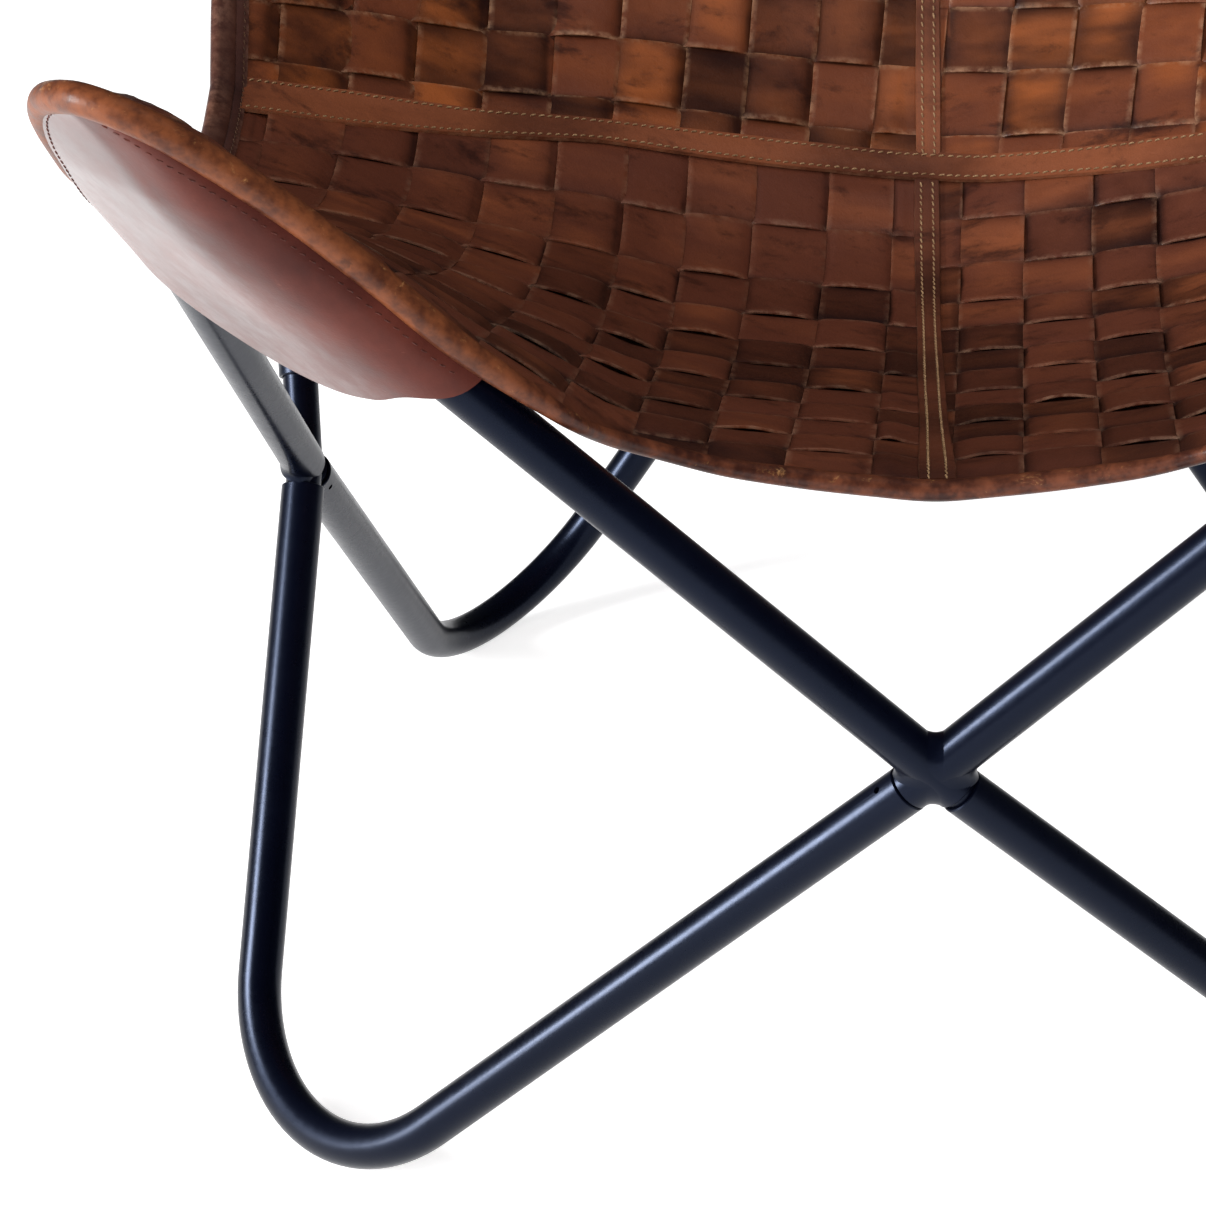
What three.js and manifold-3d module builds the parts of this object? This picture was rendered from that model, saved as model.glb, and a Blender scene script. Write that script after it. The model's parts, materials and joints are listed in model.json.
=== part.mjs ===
// Butterfly sling chair: a knock-down frame of bent round tubes that cross in
// four X joints, and a woven leather sling hung over its four top corners by
// pockets. Millimetres, +Z up, the front of the chair faces -Y and +X is to the
// right seen from the front; left and right in names are seen from there too.
// The origin is on the floor under the middle of the bounding box.
import * as THREE from 'three';
import { mergeVertices } from 'three/addons/utils/BufferGeometryUtils.js';
import Module from 'manifold-3d';

// ---------------------------------------------------------------- dimensions
const TUBE_OD = 22;          // every frame tube
const TUBE_WALL = 1.5;
const TUBE_SIDES = 12;
const SPIGOT_OD = 18.2;      // plugs into the tube bore with a sliding fit
const SPIGOT_GRIP = 60;      // length of spigot inside a sleeve
const GAP = 0.35;            // clearance kept between separate pieces
const KNEE_BEND_R = 45;      // centre-line bend radii
const TOP_BEND_R = 45;
const FOOT_BEND_R = 90;
const FOOT_WEAR = 0.6;       // depth of the flat worn under each foot bend
const LEG_HOLE_D = 3.2;      // locking hole near each sleeve end
const LEG_HOLE_AT = 9.2;     // its distance from the sleeve end
const Y_SHIFT = 18.69;       // brings the bounding box centre to y = 0

// Corner and crossing points of the tube centre lines, left side (x < 0).
const KNEE = [-348, -434, 606];        // where the knee tube's two arms meet
const TOP = [-379, 404, 925];          // where the back tube's two arms meet
const FRONT_CROSS = [0, -386, 264];
const REAR_CROSS = [0, 345, 344];
const SIDE_CROSS = [-319, -44, 255.5];
const FRONT_FOOT = [-340, -305, -58];  // where a front leg's two arms meet
const REAR_FOOT = [-278, 305, -58];
const CROSS_OVERRUN = 14;    // how far the through tube passes a cross
const SLEEVE_END = 16;       // distance of a leg's end from the front or rear cross centre
const SIDE_END = 12;         // the same at a side cross
const STUB_HEIGHT = 46;      // back tube's lower end above the side cross

// Sling. Edge curves of the left half as |x|, y, z, from the centre outwards.
const FRONT_EDGE = [
  [0, -346, 379], [27.6, -348, 382.2], [60, -353, 388.4], [92.8, -361, 397.3], [119.7, -371, 409.4],
  [137.8, -386, 422], [149.8, -402.5, 435.2], [162.5, -412.6, 448.8], [178, -418.6, 462.9], [194, -422.8, 477.3],
  [229.6, -427.9, 512.3], [261.6, -435.2, 543.2], [287.4, -441.4, 564.8], [308.4, -445.2, 580], [331, -442, 589.6],
  [342.5, -434.5, 590.2], [351.5, -423.7, 587.1],
];
const CROSS_SEAM = [
  [0, 86, 365], [68, 78, 374], [127.5, 66, 388], [166.5, 55, 398], [238.5, 31, 413.5], [293.5, 1, 432.5], [349, -40, 457],
];
const TOP_EDGE = [
  [0, 333, 690], [50, 336, 691], [110, 347, 696], [170, 366, 706], [215, 382, 722], [239, 391, 742],
  [272, 396.2, 792], [310, 402.6, 850.6], [316.5, 403.6, 859], [331, 402.5, 876], [346.5, 395, 888], [360, 384.7, 894],
];
// Side edge from the knee tip to the cross seam, and from there to the top tip.
const SEAT_SIDE = [
  [-351.5, -423.7, 587.1], [-359.5, -409, 581], [-363.8, -394.9, 571.8], [-365, -379.9, 560], [-363.7, -361.3, 543.3],
  [-361.7, -342.2, 527.2], [-358.5, -326, 515.6], [-353.4, -304.4, 502.6], [-348.6, -286.6, 492.9], [-345.1, -268.9, 482.9],
  [-343.6, -248, 471], [-343.2, -200, 455], [-345, -130, 449], [-347, -80, 451], [-349, -40, 457],
];
const BACK_SIDE = [
  [-349, -40, 457], [-355, 20, 484], [-360, 80, 530], [-364.5, 150, 606], [-367, 210, 679], [-370.7, 278.7, 768.3],
  [-377, 322.8, 834.8], [-379.4, 339.2, 859.4], [-377.8, 354, 876], [-369.8, 370.5, 887.5], [-360, 384.7, 894],
];
// Centre line of the seat from front edge to cross seam, as y, z.
const SEAT_CENTRE = [
  [-346, 379], [-333, 379], [-298, 372.5], [-263, 365], [-227, 357.5], [-192, 349.5], [-157, 343], [-121, 338],
  [-86, 333.8], [-50, 331.5], [-14, 331], [20, 336.5], [53, 348.5], [86, 365],
];
const BACK_SAG = 24;         // how far the back's centre line hangs behind its chord
const PANEL_T = 4;           // two layers of strip
const SEAM_T = 5;
const STRAP_HALF = 6.4;      // half width of the centre seam straps
const CROSS_HALF = 9;        // half width of the cross seam strap
const ROLL_R = 6.5;          // rolled edge bindings
const ROLL_CLEAR = 8.2;      // panel edge to binding centre line
const SIDE_U = 0.975;        // panel's outer side, as a share of the half width
const TUBE_KEEP = 16.2;      // sling mid-surface stays this far from a tube axis
const EVEN_U = 0.86;         // beyond this share of the half width the sling is spaced evenly along its own surface
const POCKET_T = 3;
const POCKET_DROP = 8.6;     // pocket's edge below the middle of the rolled binding that it hangs from
const POCKET_POWER = 3.4;    // roundness of its cross section
const POCKET_SHARES = [-1, -0.985, -0.95, -0.88, -0.78, -0.6, -0.3, 0, 0.3, 0.6, 0.78, 0.88, 0.95, 0.985, 1];
// Opening edge of a pocket: share of the way across, distance from the corner.
const KNEE_POCKET_OPEN = [[-1, 184], [-0.9, 179], [-0.55, 192], [-0.2, 205], [0.14, 205], [0.41, 197], [0.64, 186], [0.84, 173], [1, 166]];
const TOP_POCKET_OPEN = [[-1, 232], [0, 226], [1, 205]];
// Lowest line of a pocket: distance from the corner, level relative to the plane of the bend.
const KNEE_POCKET_BELLY = [[0, -12.5], [40, -15], [60, -16.5], [90, -18], [120, -19.5], [150, -20.5], [180, -21], [260, -20]];
const TOP_POCKET_BELLY = [[0, -12.5], [60, -17], [120, -19.2], [260, -19.2]];

const LEATHER = new THREE.MeshStandardMaterial({ color: 0x4a2618, roughness: 0.55, metalness: 0 });
const LEATHER_DARK = new THREE.MeshStandardMaterial({ color: 0x2c1610, roughness: 0.5, metalness: 0 });
const LEATHER_TAN = new THREE.MeshStandardMaterial({ color: 0x9a5226, roughness: 0.5, metalness: 0 });
const LEATHER_SMOOTH = new THREE.MeshStandardMaterial({ color: 0x3b211d, roughness: 0.32, metalness: 0 });
const PAINT = new THREE.MeshStandardMaterial({ color: 0x0c1122, roughness: 0.35, metalness: 0.1 });

// ------------------------------------------------------------------- helpers
const wasm = await Module();
wasm.setup();

const vec = (a) => new THREE.Vector3(a[0], a[1] + Y_SHIFT, a[2]);
const mirror = (p) => new THREE.Vector3(-p.x, p.y, p.z);
const toward = (a, b, d) => a.clone().add(b.clone().sub(a).normalize().multiplyScalar(d));
const unit = (a, b) => b.clone().sub(a).normalize();

function signedVolume(pos, idx) {
  let v = 0;
  for (let i = 0; i < idx.length; i += 3) {
    const [a, b, c] = [idx[i] * 3, idx[i + 1] * 3, idx[i + 2] * 3];
    v += pos[a] * (pos[b + 1] * pos[c + 2] - pos[b + 2] * pos[c + 1])
       - pos[a + 1] * (pos[b] * pos[c + 2] - pos[b + 2] * pos[c])
       + pos[a + 2] * (pos[b] * pos[c + 1] - pos[b + 1] * pos[c]);
  }
  return v / 6;
}

// One closed surface with shared vertices and outward faces.
function closed(geometry) {
  const g = geometry.clone();
  for (const name of Object.keys(g.attributes)) if (name !== 'position') g.deleteAttribute(name);
  const m = mergeVertices(g, 1e-4);
  const idx = Array.from(m.index.array);
  const pos = m.attributes.position.array;
  if (signedVolume(pos, idx) < 0) {
    for (let i = 0; i < idx.length; i += 3) [idx[i + 1], idx[i + 2]] = [idx[i + 2], idx[i + 1]];
    m.setIndex(idx);
  }
  return m;
}

function toSolid(geometry) {
  const m = closed(geometry);
  return new wasm.Manifold(new wasm.Mesh({
    numProp: 3,
    vertProperties: new Float32Array(m.attributes.position.array),
    triVerts: new Uint32Array(m.index.array),
  }));
}

function fromSolid(solid) {
  const mesh = solid.getMesh();
  const g = new THREE.BufferGeometry();
  const pos = new Float32Array(mesh.numVert * 3);
  for (let i = 0; i < mesh.numVert; i++) for (let k = 0; k < 3; k++) pos[i * 3 + k] = mesh.vertProperties[i * mesh.numProp + k];
  g.setAttribute('position', new THREE.BufferAttribute(pos, 3));
  g.setIndex(new THREE.BufferAttribute(new Uint32Array(mesh.triVerts), 1));
  return g;
}

// A path whose sections stand exactly at the given points, square to the given tangents.
class SectionPath extends THREE.Curve {
  constructor(points, tangents) {
    super();
    this.points = points;
    this.tangents = tangents;
  }
  getPoint(t, target = new THREE.Vector3()) {
    const n = this.points.length - 1;
    const i = Math.min(Math.floor(t * n + 1e-9), n - 1);
    return target.copy(this.points[i]).lerp(this.points[i + 1], t * n - i);
  }
  getPointAt(t, target) { return this.getPoint(t, target); }
  getTangentAt(t, target = new THREE.Vector3()) {
    return target.copy(this.tangents[Math.round(t * (this.points.length - 1))]);
  }
}

function polygon(radius, sides, turn = 0) {
  const pts = [];
  for (let i = 0; i < sides; i++) {
    const a = turn + (i / sides) * Math.PI * 2;
    pts.push(new THREE.Vector2(radius * Math.cos(a), radius * Math.sin(a)));
  }
  return pts;
}

function sweep(points, tangents, radius, bore, sides = TUBE_SIDES) {
  const shape = new THREE.Shape(polygon(radius, sides));
  if (bore) shape.holes.push(new THREE.Path(polygon(bore, sides).reverse()));
  return new THREE.ExtrudeGeometry(shape, {
    steps: points.length - 1, bevelEnabled: false, extrudePath: new SectionPath(points, tangents),
  });
}

// Centre line of a V-bent tube: straight arm, bend, straight arm.
function veeLine(a, apex, b, radius, steps) {
  const da = unit(apex, a), db = unit(apex, b);
  const half = Math.acos(da.dot(db)) / 2;
  const run = radius / Math.tan(half);
  const centre = apex.clone().add(da.clone().add(db).normalize().multiplyScalar(radius / Math.sin(half)));
  const va = apex.clone().addScaledVector(da, run).sub(centre);
  const vb = apex.clone().addScaledVector(db, run).sub(centre);
  const turn = Math.PI - 2 * half;
  const points = [a.clone()], tangents = [da.clone().negate()];
  for (let i = 0; i <= steps; i++) {
    const t = (turn * i) / steps, s = Math.sin(turn);
    points.push(centre.clone().addScaledVector(va, Math.sin(turn - t) / s).addScaledVector(vb, Math.sin(t) / s));
    tangents.push(va.clone().multiplyScalar(-Math.cos(turn - t)).addScaledVector(vb, Math.cos(t)).normalize());
  }
  points.push(b.clone());
  tangents.push(db.clone());
  return { points, tangents, centre };
}

function rod(a, b, radius, sides = TUBE_SIDES) {
  const d = unit(a, b);
  return sweep([a, b], [d, d], radius, 0, sides);
}

// A rod bent once by a small angle at its middle point.
function kinkedRod(a, m, b, radius) {
  const d1 = unit(a, m), d2 = unit(m, b);
  return sweep([a, m, b], [d1, d1.clone().add(d2).normalize(), d2], radius, 0);
}

// Cuts round clearances (axis from a to b) out of a piece.
function cope(geometry, cuts) {
  let solid = toSolid(geometry);
  for (const [a, b, r] of cuts) solid = solid.subtract(toSolid(rod(a, b, r / Math.cos(Math.PI / 24), 24)));
  return fromSolid(solid);
}

const group = new THREE.Group();
const R = TUBE_OD / 2, BORE = R - TUBE_WALL, PIN = SPIGOT_OD / 2;
function piece(name, geometry, material, flip = false) {
  const m = closed(geometry);
  if (flip) {
    const pos = m.attributes.position.array;
    for (let i = 0; i < pos.length; i += 3) pos[i] = -pos[i];
    const idx = Array.from(m.index.array);
    for (let i = 0; i < idx.length; i += 3) [idx[i + 1], idx[i + 2]] = [idx[i + 2], idx[i + 1]];
    m.setIndex(idx);
  }
  m.computeVertexNormals();
  const mesh = new THREE.Mesh(m, material);
  mesh.name = name;
  group.add(mesh);
  return mesh;
}

// --------------------------------------------------------------------- frame
const knee = vec(KNEE), top = vec(TOP), fx = vec(FRONT_CROSS), rx = vec(REAR_CROSS), sx = vec(SIDE_CROSS);

// Lowers or raises a foot corner until the bend's underside is FOOT_WEAR below the floor.
function settle(apex, a, b) {
  const p = apex.clone();
  for (let k = 0; k < 6; k++) {
    const { points } = veeLine(a, p, b, FOOT_BEND_R, 200);
    p.z -= Math.min(...points.map((q) => q.z)) - R + FOOT_WEAR;
  }
  return p;
}

// The left tube passes a cross by CROSS_OVERRUN; the leg under it starts from there.
const fxOver = fx.clone().addScaledVector(unit(knee, fx), CROSS_OVERRUN);
const rxOver = rx.clone().addScaledVector(unit(top, rx), CROSS_OVERRUN);
const frontFoot = settle(vec(FRONT_FOOT), fx, sx);
const rearFoot = settle(vec(REAR_FOOT), rx, sx);

// Knee tubes. The left one runs through the front cross, the right one is coped onto it.
const stubTop = toward(sx, top, STUB_HEIGHT);
const stubLow = toward(sx, frontFoot, SIDE_END);
const uprightCuts = [
  [toward(sx, top, 60), toward(sx, top, -4), PIN + GAP],
  [toward(sx, frontFoot, 60), toward(sx, frontFoot, -4), PIN + GAP],
];
{
  const sideEnd = toward(sx, knee, 3);
  const left = veeLine(fxOver, knee, sideEnd, KNEE_BEND_R, 6);
  piece('knee_tube_left', cope(sweep(left.points, left.tangents, R, BORE), uprightCuts), PAINT);
  const right = veeLine(toward(mirror(fx), mirror(knee), 4), mirror(knee), mirror(sideEnd), KNEE_BEND_R, 6);
  piece('knee_tube_right', cope(sweep(right.points, right.tangents, R, BORE), [
    ...uprightCuts.map(([a, b, r]) => [mirror(a), mirror(b), r]),
    [toward(fx, knee, 60), toward(fx, fxOver, 60), R + GAP],
  ]), PAINT);
}

// Back tubes, sleeved over the side stubs at their lower ends.
{
  const left = veeLine(rxOver, top, stubTop, TOP_BEND_R, 6);
  piece('back_tube_left', sweep(left.points, left.tangents, R, BORE), PAINT);
  const right = veeLine(toward(rx, mirror(top), 4), mirror(top), mirror(stubTop), TOP_BEND_R, 6);
  piece('back_tube_right', cope(sweep(right.points, right.tangents, R, BORE), [
    [toward(rx, top, 60), toward(rx, rxOver, 60), R + GAP],
  ]), PAINT);
}

// The side of a leg that the locking hole at one of its ends is drilled from.
function holeSide(end, apex) {
  const k = Math.sign(apex.x);
  if (end.distanceTo(fx) < 60) return k < 0 ? new THREE.Vector3(-0.676, -0.418, 0.607) : new THREE.Vector3(0.62, 0.61, -0.5);
  if (Math.abs(end.x) > 200) return apex.y < 0 ? new THREE.Vector3(0, 0.75, -0.6) : new THREE.Vector3(-k * 0.826, -0.426, -0.369);
  return new THREE.Vector3(0, -1, 0.15);
}

// Legs: hollow V tubes with a locking hole at each sleeve end and a worn flat on the floor.
function leg(name, a, corner, b) {
  const apex = corner.clone();
  let bent;
  for (let k = 0; k < 5; k++) {
    const line = veeLine(a, apex, b, FOOT_BEND_R, 9);
    bent = sweep(line.points, line.tangents, R, BORE);
    bent.computeBoundingBox();
    apex.z -= bent.boundingBox.min.z + FOOT_WEAR;
  }
  let solid = toSolid(bent);
  const floor = new THREE.BoxGeometry(600, 600, 40);
  floor.translate(apex.x, apex.y, -20);
  solid = solid.subtract(toSolid(floor));
  for (const end of [a, b]) {
    const axis = unit(end, apex);
    const out = holeSide(end, apex);
    out.addScaledVector(axis, -out.dot(axis)).normalize();
    const at = end.clone().addScaledVector(axis, LEG_HOLE_AT);
    solid = solid.subtract(toSolid(rod(
      at.clone().addScaledVector(out, BORE - 3), at.clone().addScaledVector(out, R + 3), LEG_HOLE_D / 2, 10)));
  }
  piece(name, fromSolid(solid), PAINT);
}
leg('front_leg_left', toward(fx, frontFoot, SLEEVE_END), frontFoot, stubLow);
leg('front_leg_right', toward(fxOver, mirror(frontFoot), 2), mirror(frontFoot), mirror(stubLow));
leg('rear_leg_left', toward(sx, rearFoot, SIDE_END), rearFoot, toward(rx, rearFoot, SLEEVE_END));
leg('rear_leg_right', mirror(toward(sx, rearFoot, SIDE_END)), mirror(rearFoot), toward(rxOver, mirror(rearFoot), 2));

// Spigots of the front and rear crosses: one bridges the through tube and the leg
// below it, the other is coped onto the through tube's far side and has a collar
// of the full tube diameter up to the leg's sleeve.
function collared(cross, foot) {
  const pin = toSolid(rod(toward(cross, foot, 5), toward(cross, foot, SLEEVE_END + SPIGOT_GRIP), PIN));
  return fromSolid(pin.add(toSolid(rod(toward(cross, foot, 5), toward(cross, foot, SLEEVE_END - GAP), R))));
}
piece('front_spigot_right', kinkedRod(
  toward(fxOver, knee, SPIGOT_GRIP), fxOver, toward(fxOver, mirror(frontFoot), SPIGOT_GRIP), PIN), PAINT);
piece('front_spigot_left', cope(collared(fx, frontFoot), [
  [toward(fx, knee, 60), toward(fx, fxOver, 60), R + GAP],
]), PAINT);
piece('rear_spigot_right', kinkedRod(
  toward(rxOver, top, SPIGOT_GRIP), rxOver, toward(rxOver, mirror(rearFoot), SPIGOT_GRIP), PIN), PAINT);
piece('rear_spigot_left', cope(collared(rx, rearFoot), [
  [toward(rx, top, 60), toward(rx, rxOver, 60), R + GAP],
]), PAINT);

// Spigots of the side crosses.
for (const [side, flip] of [['left', false], ['right', true]]) {
  piece(`side_upright_spigot_${side}`, kinkedRod(
    toward(sx, frontFoot, SLEEVE_END + SPIGOT_GRIP), sx, toward(sx, top, STUB_HEIGHT + SPIGOT_GRIP), PIN), PAINT, flip);
  piece(`side_rear_spigot_${side}`, cope(
    rod(toward(sx, rearFoot, 4), toward(sx, rearFoot, SLEEVE_END + SPIGOT_GRIP), PIN), uprightCuts), PAINT, flip);
}

// --------------------------------------------------------------------- sling
// Piecewise cubic through a table's rows; column 0 is the parameter.
function cubic(rows, t, even) {
  const n = rows.length;
  let i = 0;
  while (i < n - 2 && t > rows[i + 1][0]) i++;
  const slope = (k, c) => {
    const s = (a, b) => (rows[b][c] - rows[a][c]) / (rows[b][0] - rows[a][0]);
    if (k === 0) return even ? 0 : s(0, 1);
    if (k === n - 1) return s(n - 2, n - 1);
    const h0 = rows[k][0] - rows[k - 1][0], h1 = rows[k + 1][0] - rows[k][0];
    return (h1 * s(k - 1, k) + h0 * s(k, k + 1)) / (h0 + h1);
  };
  const h = rows[i + 1][0] - rows[i][0], f = (t - rows[i][0]) / h, f2 = f * f, f3 = f2 * f;
  const out = [];
  for (let c = 1; c < rows[0].length; c++) {
    out.push((2 * f3 - 3 * f2 + 1) * rows[i][c] + (f3 - 2 * f2 + f) * h * slope(i, c)
      + (3 * f2 - 2 * f3) * rows[i + 1][c] + (f3 - f2) * h * slope(i + 1, c));
  }
  return out;
}

// Table of points turned into one with running length, 0 to 1, in column 0.
function byLength(points) {
  let s = 0;
  const rows = points.map((p, i) => {
    if (i) s += Math.hypot(...p.map((c, k) => c - points[i - 1][k]));
    return [s, ...p];
  });
  return rows.map((r) => [r[0] / s, ...r.slice(1)]);
}

const seatSide = byLength(SEAT_SIDE), backSide = byLength(BACK_SIDE), seatCentre = byLength(SEAT_CENTRE);
const onEdge = (table, u) => {
  const x = Math.abs(u) * table[table.length - 1][0];
  return [x, ...cubic(table, x, true)];
};

// Tube centre lines that the sling lies on, with the side of each bend's plane
// that faces the sitter. The sling passes over the tubes on that side.
const rests = [[fx, knee, sx, KNEE_BEND_R], [sx, top, rx, TOP_BEND_R]].map(([a, apex, b, r]) => ({
  line: veeLine(a, apex, b, r, 16).points,
  up: unit(apex, a).cross(unit(apex, b)).normalize(),
}));
function keepOff(p) {
  for (const { line, up } of rests) {
    let best = Infinity, near = null;
    for (let i = 0; i + 1 < line.length; i++) {
      const q = new THREE.Line3(line[i], line[i + 1]).closestPointToPoint(p, true, new THREE.Vector3());
      const d = q.distanceTo(p);
      if (d < best) { best = d; near = q; }
    }
    const off = p.clone().sub(near), b = off.dot(up), c2 = off.lengthSq() - b * b;
    if (c2 < TUBE_KEEP ** 2) p.addScaledVector(up, Math.max(0, Math.sqrt(TUBE_KEEP ** 2 - c2) - b));
  }
  return p;
}

// Sling surface, left half worked out and mirrored: u from -1 to 1 across,
// v from 0 (front edge or cross seam) to 1 (cross seam or top edge).
function rawPoint(part, u, v) {
  const ua = Math.abs(u), w = ua ** 4;
  const seat = part === 'seat';
  const a = onEdge(seat ? FRONT_EDGE : CROSS_SEAM, ua), b = onEdge(seat ? CROSS_SEAM : TOP_EDGE, ua);
  const side = seat ? seatSide : backSide;
  const e = cubic(side, v), e0 = side[0].slice(1), e1 = side[side.length - 1].slice(1);
  let dc;
  if (seat) {
    const c = cubic(seatCentre, v), c0 = SEAT_CENTRE[0], c1 = SEAT_CENTRE[SEAT_CENTRE.length - 1];
    dc = [0, c[0] - (1 - v) * c0[0] - v * c1[0], c[1] - (1 - v) * c0[1] - v * c1[1]];
  } else {
    const rise = TOP_EDGE[0][2] - CROSS_SEAM[0][2], run = TOP_EDGE[0][1] - CROSS_SEAM[0][1], len = Math.hypot(rise, run);
    const s = BACK_SAG * 6.75 * v * (1 - v) ** 2;
    dc = [0, (s * rise) / len, (-s * run) / len];
  }
  const q = [0, 1, 2].map((k) => {
    const chordA = k === 0 ? -a[0] : a[k], chordB = k === 0 ? -b[0] : b[k];
    const ds = e[k] - (1 - v) * e0[k] - v * e1[k];
    return (1 - v) * chordA + v * chordB + (1 - w) * dc[k] + w * ds;
  });
  const p = keepOff(vec(q));
  return u > 0 ? mirror(p) : p;
}

// The same with its outer strips spaced evenly where they wrap round a tube.
const sideRuns = new Map();
function slingPoint(part, u, v) {
  const ua = Math.abs(u);
  if (ua <= EVEN_U) return rawPoint(part, u, v);
  const key = part + v.toFixed(6);
  if (!sideRuns.has(key)) {
    const pts = [], len = [0], n = 90;
    for (let i = 0; i <= n; i++) {
      pts.push(rawPoint(part, -(EVEN_U + ((1 - EVEN_U) * i) / n), v));
      if (i) len.push(len[i - 1] + pts[i].distanceTo(pts[i - 1]));
    }
    sideRuns.set(key, { pts, len });
  }
  const { pts, len } = sideRuns.get(key), n = pts.length - 1;
  const s = (len[n] * (ua - EVEN_U)) / (1 - EVEN_U);
  let i = 0;
  while (i < n - 1 && len[i + 1] < s) i++;
  const p = pts[i].clone().lerp(pts[i + 1], (s - len[i]) / Math.max(1e-9, len[i + 1] - len[i]));
  return u > 0 ? mirror(p) : p;
}

// A line of the sling at constant u with its running length.
function slingLine(part, u, n = 120) {
  const pts = [], len = [0];
  for (let i = 0; i <= n; i++) {
    pts.push(slingPoint(part, u, i / n));
    if (i) len.push(len[i - 1] + pts[i].distanceTo(pts[i - 1]));
  }
  return { len: len[n], at(s) {
    let i = 0;
    while (i < n - 1 && len[i + 1] < s) i++;
    return pts[i].clone().lerp(pts[i + 1], (s - len[i]) / (len[i + 1] - len[i]));
  } };
}

// A sheet of the given thickness about a grid of points, closed all round.
function sheet(grid, thickness) {
  const nu = grid.length, nv = grid[0].length, pos = [], idx = [];
  const at = (i, j) => grid[Math.max(0, Math.min(nu - 1, i))][Math.max(0, Math.min(nv - 1, j))];
  for (const side of [1, -1]) {
    for (let i = 0; i < nu; i++) for (let j = 0; j < nv; j++) {
      const du = at(i + 1, j).clone().sub(at(i - 1, j)), dv = at(i, j + 1).clone().sub(at(i, j - 1));
      const n = du.cross(dv).normalize();
      const p = grid[i][j].clone().addScaledVector(n, (side * thickness) / 2);
      pos.push(p.x, p.y, p.z);
    }
  }
  const id = (side, i, j) => side * nu * nv + i * nv + j;
  const quad = (a, b, c, d) => idx.push(a, b, c, a, c, d);
  for (let i = 0; i + 1 < nu; i++) for (let j = 0; j + 1 < nv; j++) {
    quad(id(0, i, j), id(0, i + 1, j), id(0, i + 1, j + 1), id(0, i, j + 1));
    quad(id(1, i, j), id(1, i, j + 1), id(1, i + 1, j + 1), id(1, i + 1, j));
  }
  for (let i = 0; i + 1 < nu; i++) {
    quad(id(1, i, 0), id(1, i + 1, 0), id(0, i + 1, 0), id(0, i, 0));
    quad(id(0, i, nv - 1), id(0, i + 1, nv - 1), id(1, i + 1, nv - 1), id(1, i, nv - 1));
  }
  for (let j = 0; j + 1 < nv; j++) {
    quad(id(0, 0, j), id(0, 0, j + 1), id(1, 0, j + 1), id(1, 0, j));
    quad(id(1, nu - 1, j), id(1, nu - 1, j + 1), id(0, nu - 1, j + 1), id(0, nu - 1, j));
  }
  const g = new THREE.BufferGeometry();
  g.setAttribute('position', new THREE.Float32BufferAttribute(pos, 3));
  g.setIndex(idx);
  return g;
}

function edgeLine(table, n) {
  const pts = [];
  for (let i = -n; i <= n; i++) {
    const q = onEdge(table, i / n);
    pts.push(new THREE.Vector3(Math.sign(i) * q[0], q[1] + Y_SHIFT, q[2]));
  }
  return pts;
}
const sideLine = (table, n) => Array.from({ length: n + 1 }, (_, i) => vec(cubic(table, i / n)));
const frontLine = edgeLine(FRONT_EDGE, 90), topLine = edgeLine(TOP_EDGE, 90);
const seatLine = sideLine(seatSide, 160), backLine = sideLine(backSide, 160);

// Distances past a rolled edge at which a panel's grid has its first lines.
const EDGE_STEPS = [0, 6, 12, 19, 28, 38, 50, 65];
function panelGrid(part, us, nv) {
  const seat = part === 'seat', edge = seat ? frontLine : topLine, side = seat ? seatLine : backLine;
  return us.map((u) => {
    const line = slingLine(part, u);
    const at = (s) => (seat ? line.at(s) : line.at(line.len - s));
    let start = ROLL_CLEAR;
    const near = (p) => edge.some((q) => q.distanceTo(p) < ROLL_CLEAR) || side.some((q) => q.distanceTo(p) < ROLL_R + 1.2);
    while (start < 70 && near(at(start))) start += 0.5;
    const first = start + EDGE_STEPS[EDGE_STEPS.length - 1], last = line.len - CROSS_HALF - 1;
    const from = EDGE_STEPS.slice(0, -1).map((s) => start + s);
    for (let j = 0; j <= nv; j++) from.push(first + ((last - first) * j) / nv);
    return (seat ? from : from.reverse()).map(at);
  });
}

const HALF_W = CROSS_SEAM[CROSS_SEAM.length - 1][0];
const STRAP_U = STRAP_HALF / HALF_W, PANEL_U = (STRAP_HALF + GAP + 0.25) / FRONT_EDGE[FRONT_EDGE.length - 1][0];
const PANEL_US = [-SIDE_U, -0.955, -0.93, -0.91, -0.89, -0.87, -0.84, -0.79, -0.72, -0.64, -0.56, -0.51, -0.47, -0.43, -0.39, -0.34, -0.27, -0.18, -0.09, -PANEL_U];
for (const [part, nv] of [['seat', 7], ['back', 7]]) {
  for (const [side, flip] of [['left', false], ['right', true]]) {
    piece(`${part}_${side}_panel`, sheet(panelGrid(part, PANEL_US, nv), PANEL_T), LEATHER, flip);
  }
  piece(`${part}_centre_seam`, sheet(panelGrid(part, [-STRAP_U, 0, STRAP_U], nv), SEAM_T), LEATHER_DARK);
}
{
  const grid = [], n = 24;
  for (let i = 0; i <= n; i++) {
    const u = -SIDE_U + (2 * SIDE_U * i) / n;
    const low = slingLine('seat', u), high = slingLine('back', u);
    grid.push([low.at(low.len - CROSS_HALF), high.at(0), high.at(CROSS_HALF)]);
  }
  piece('cross_seam', sheet(grid, SEAM_T), LEATHER_DARK);
}

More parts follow.
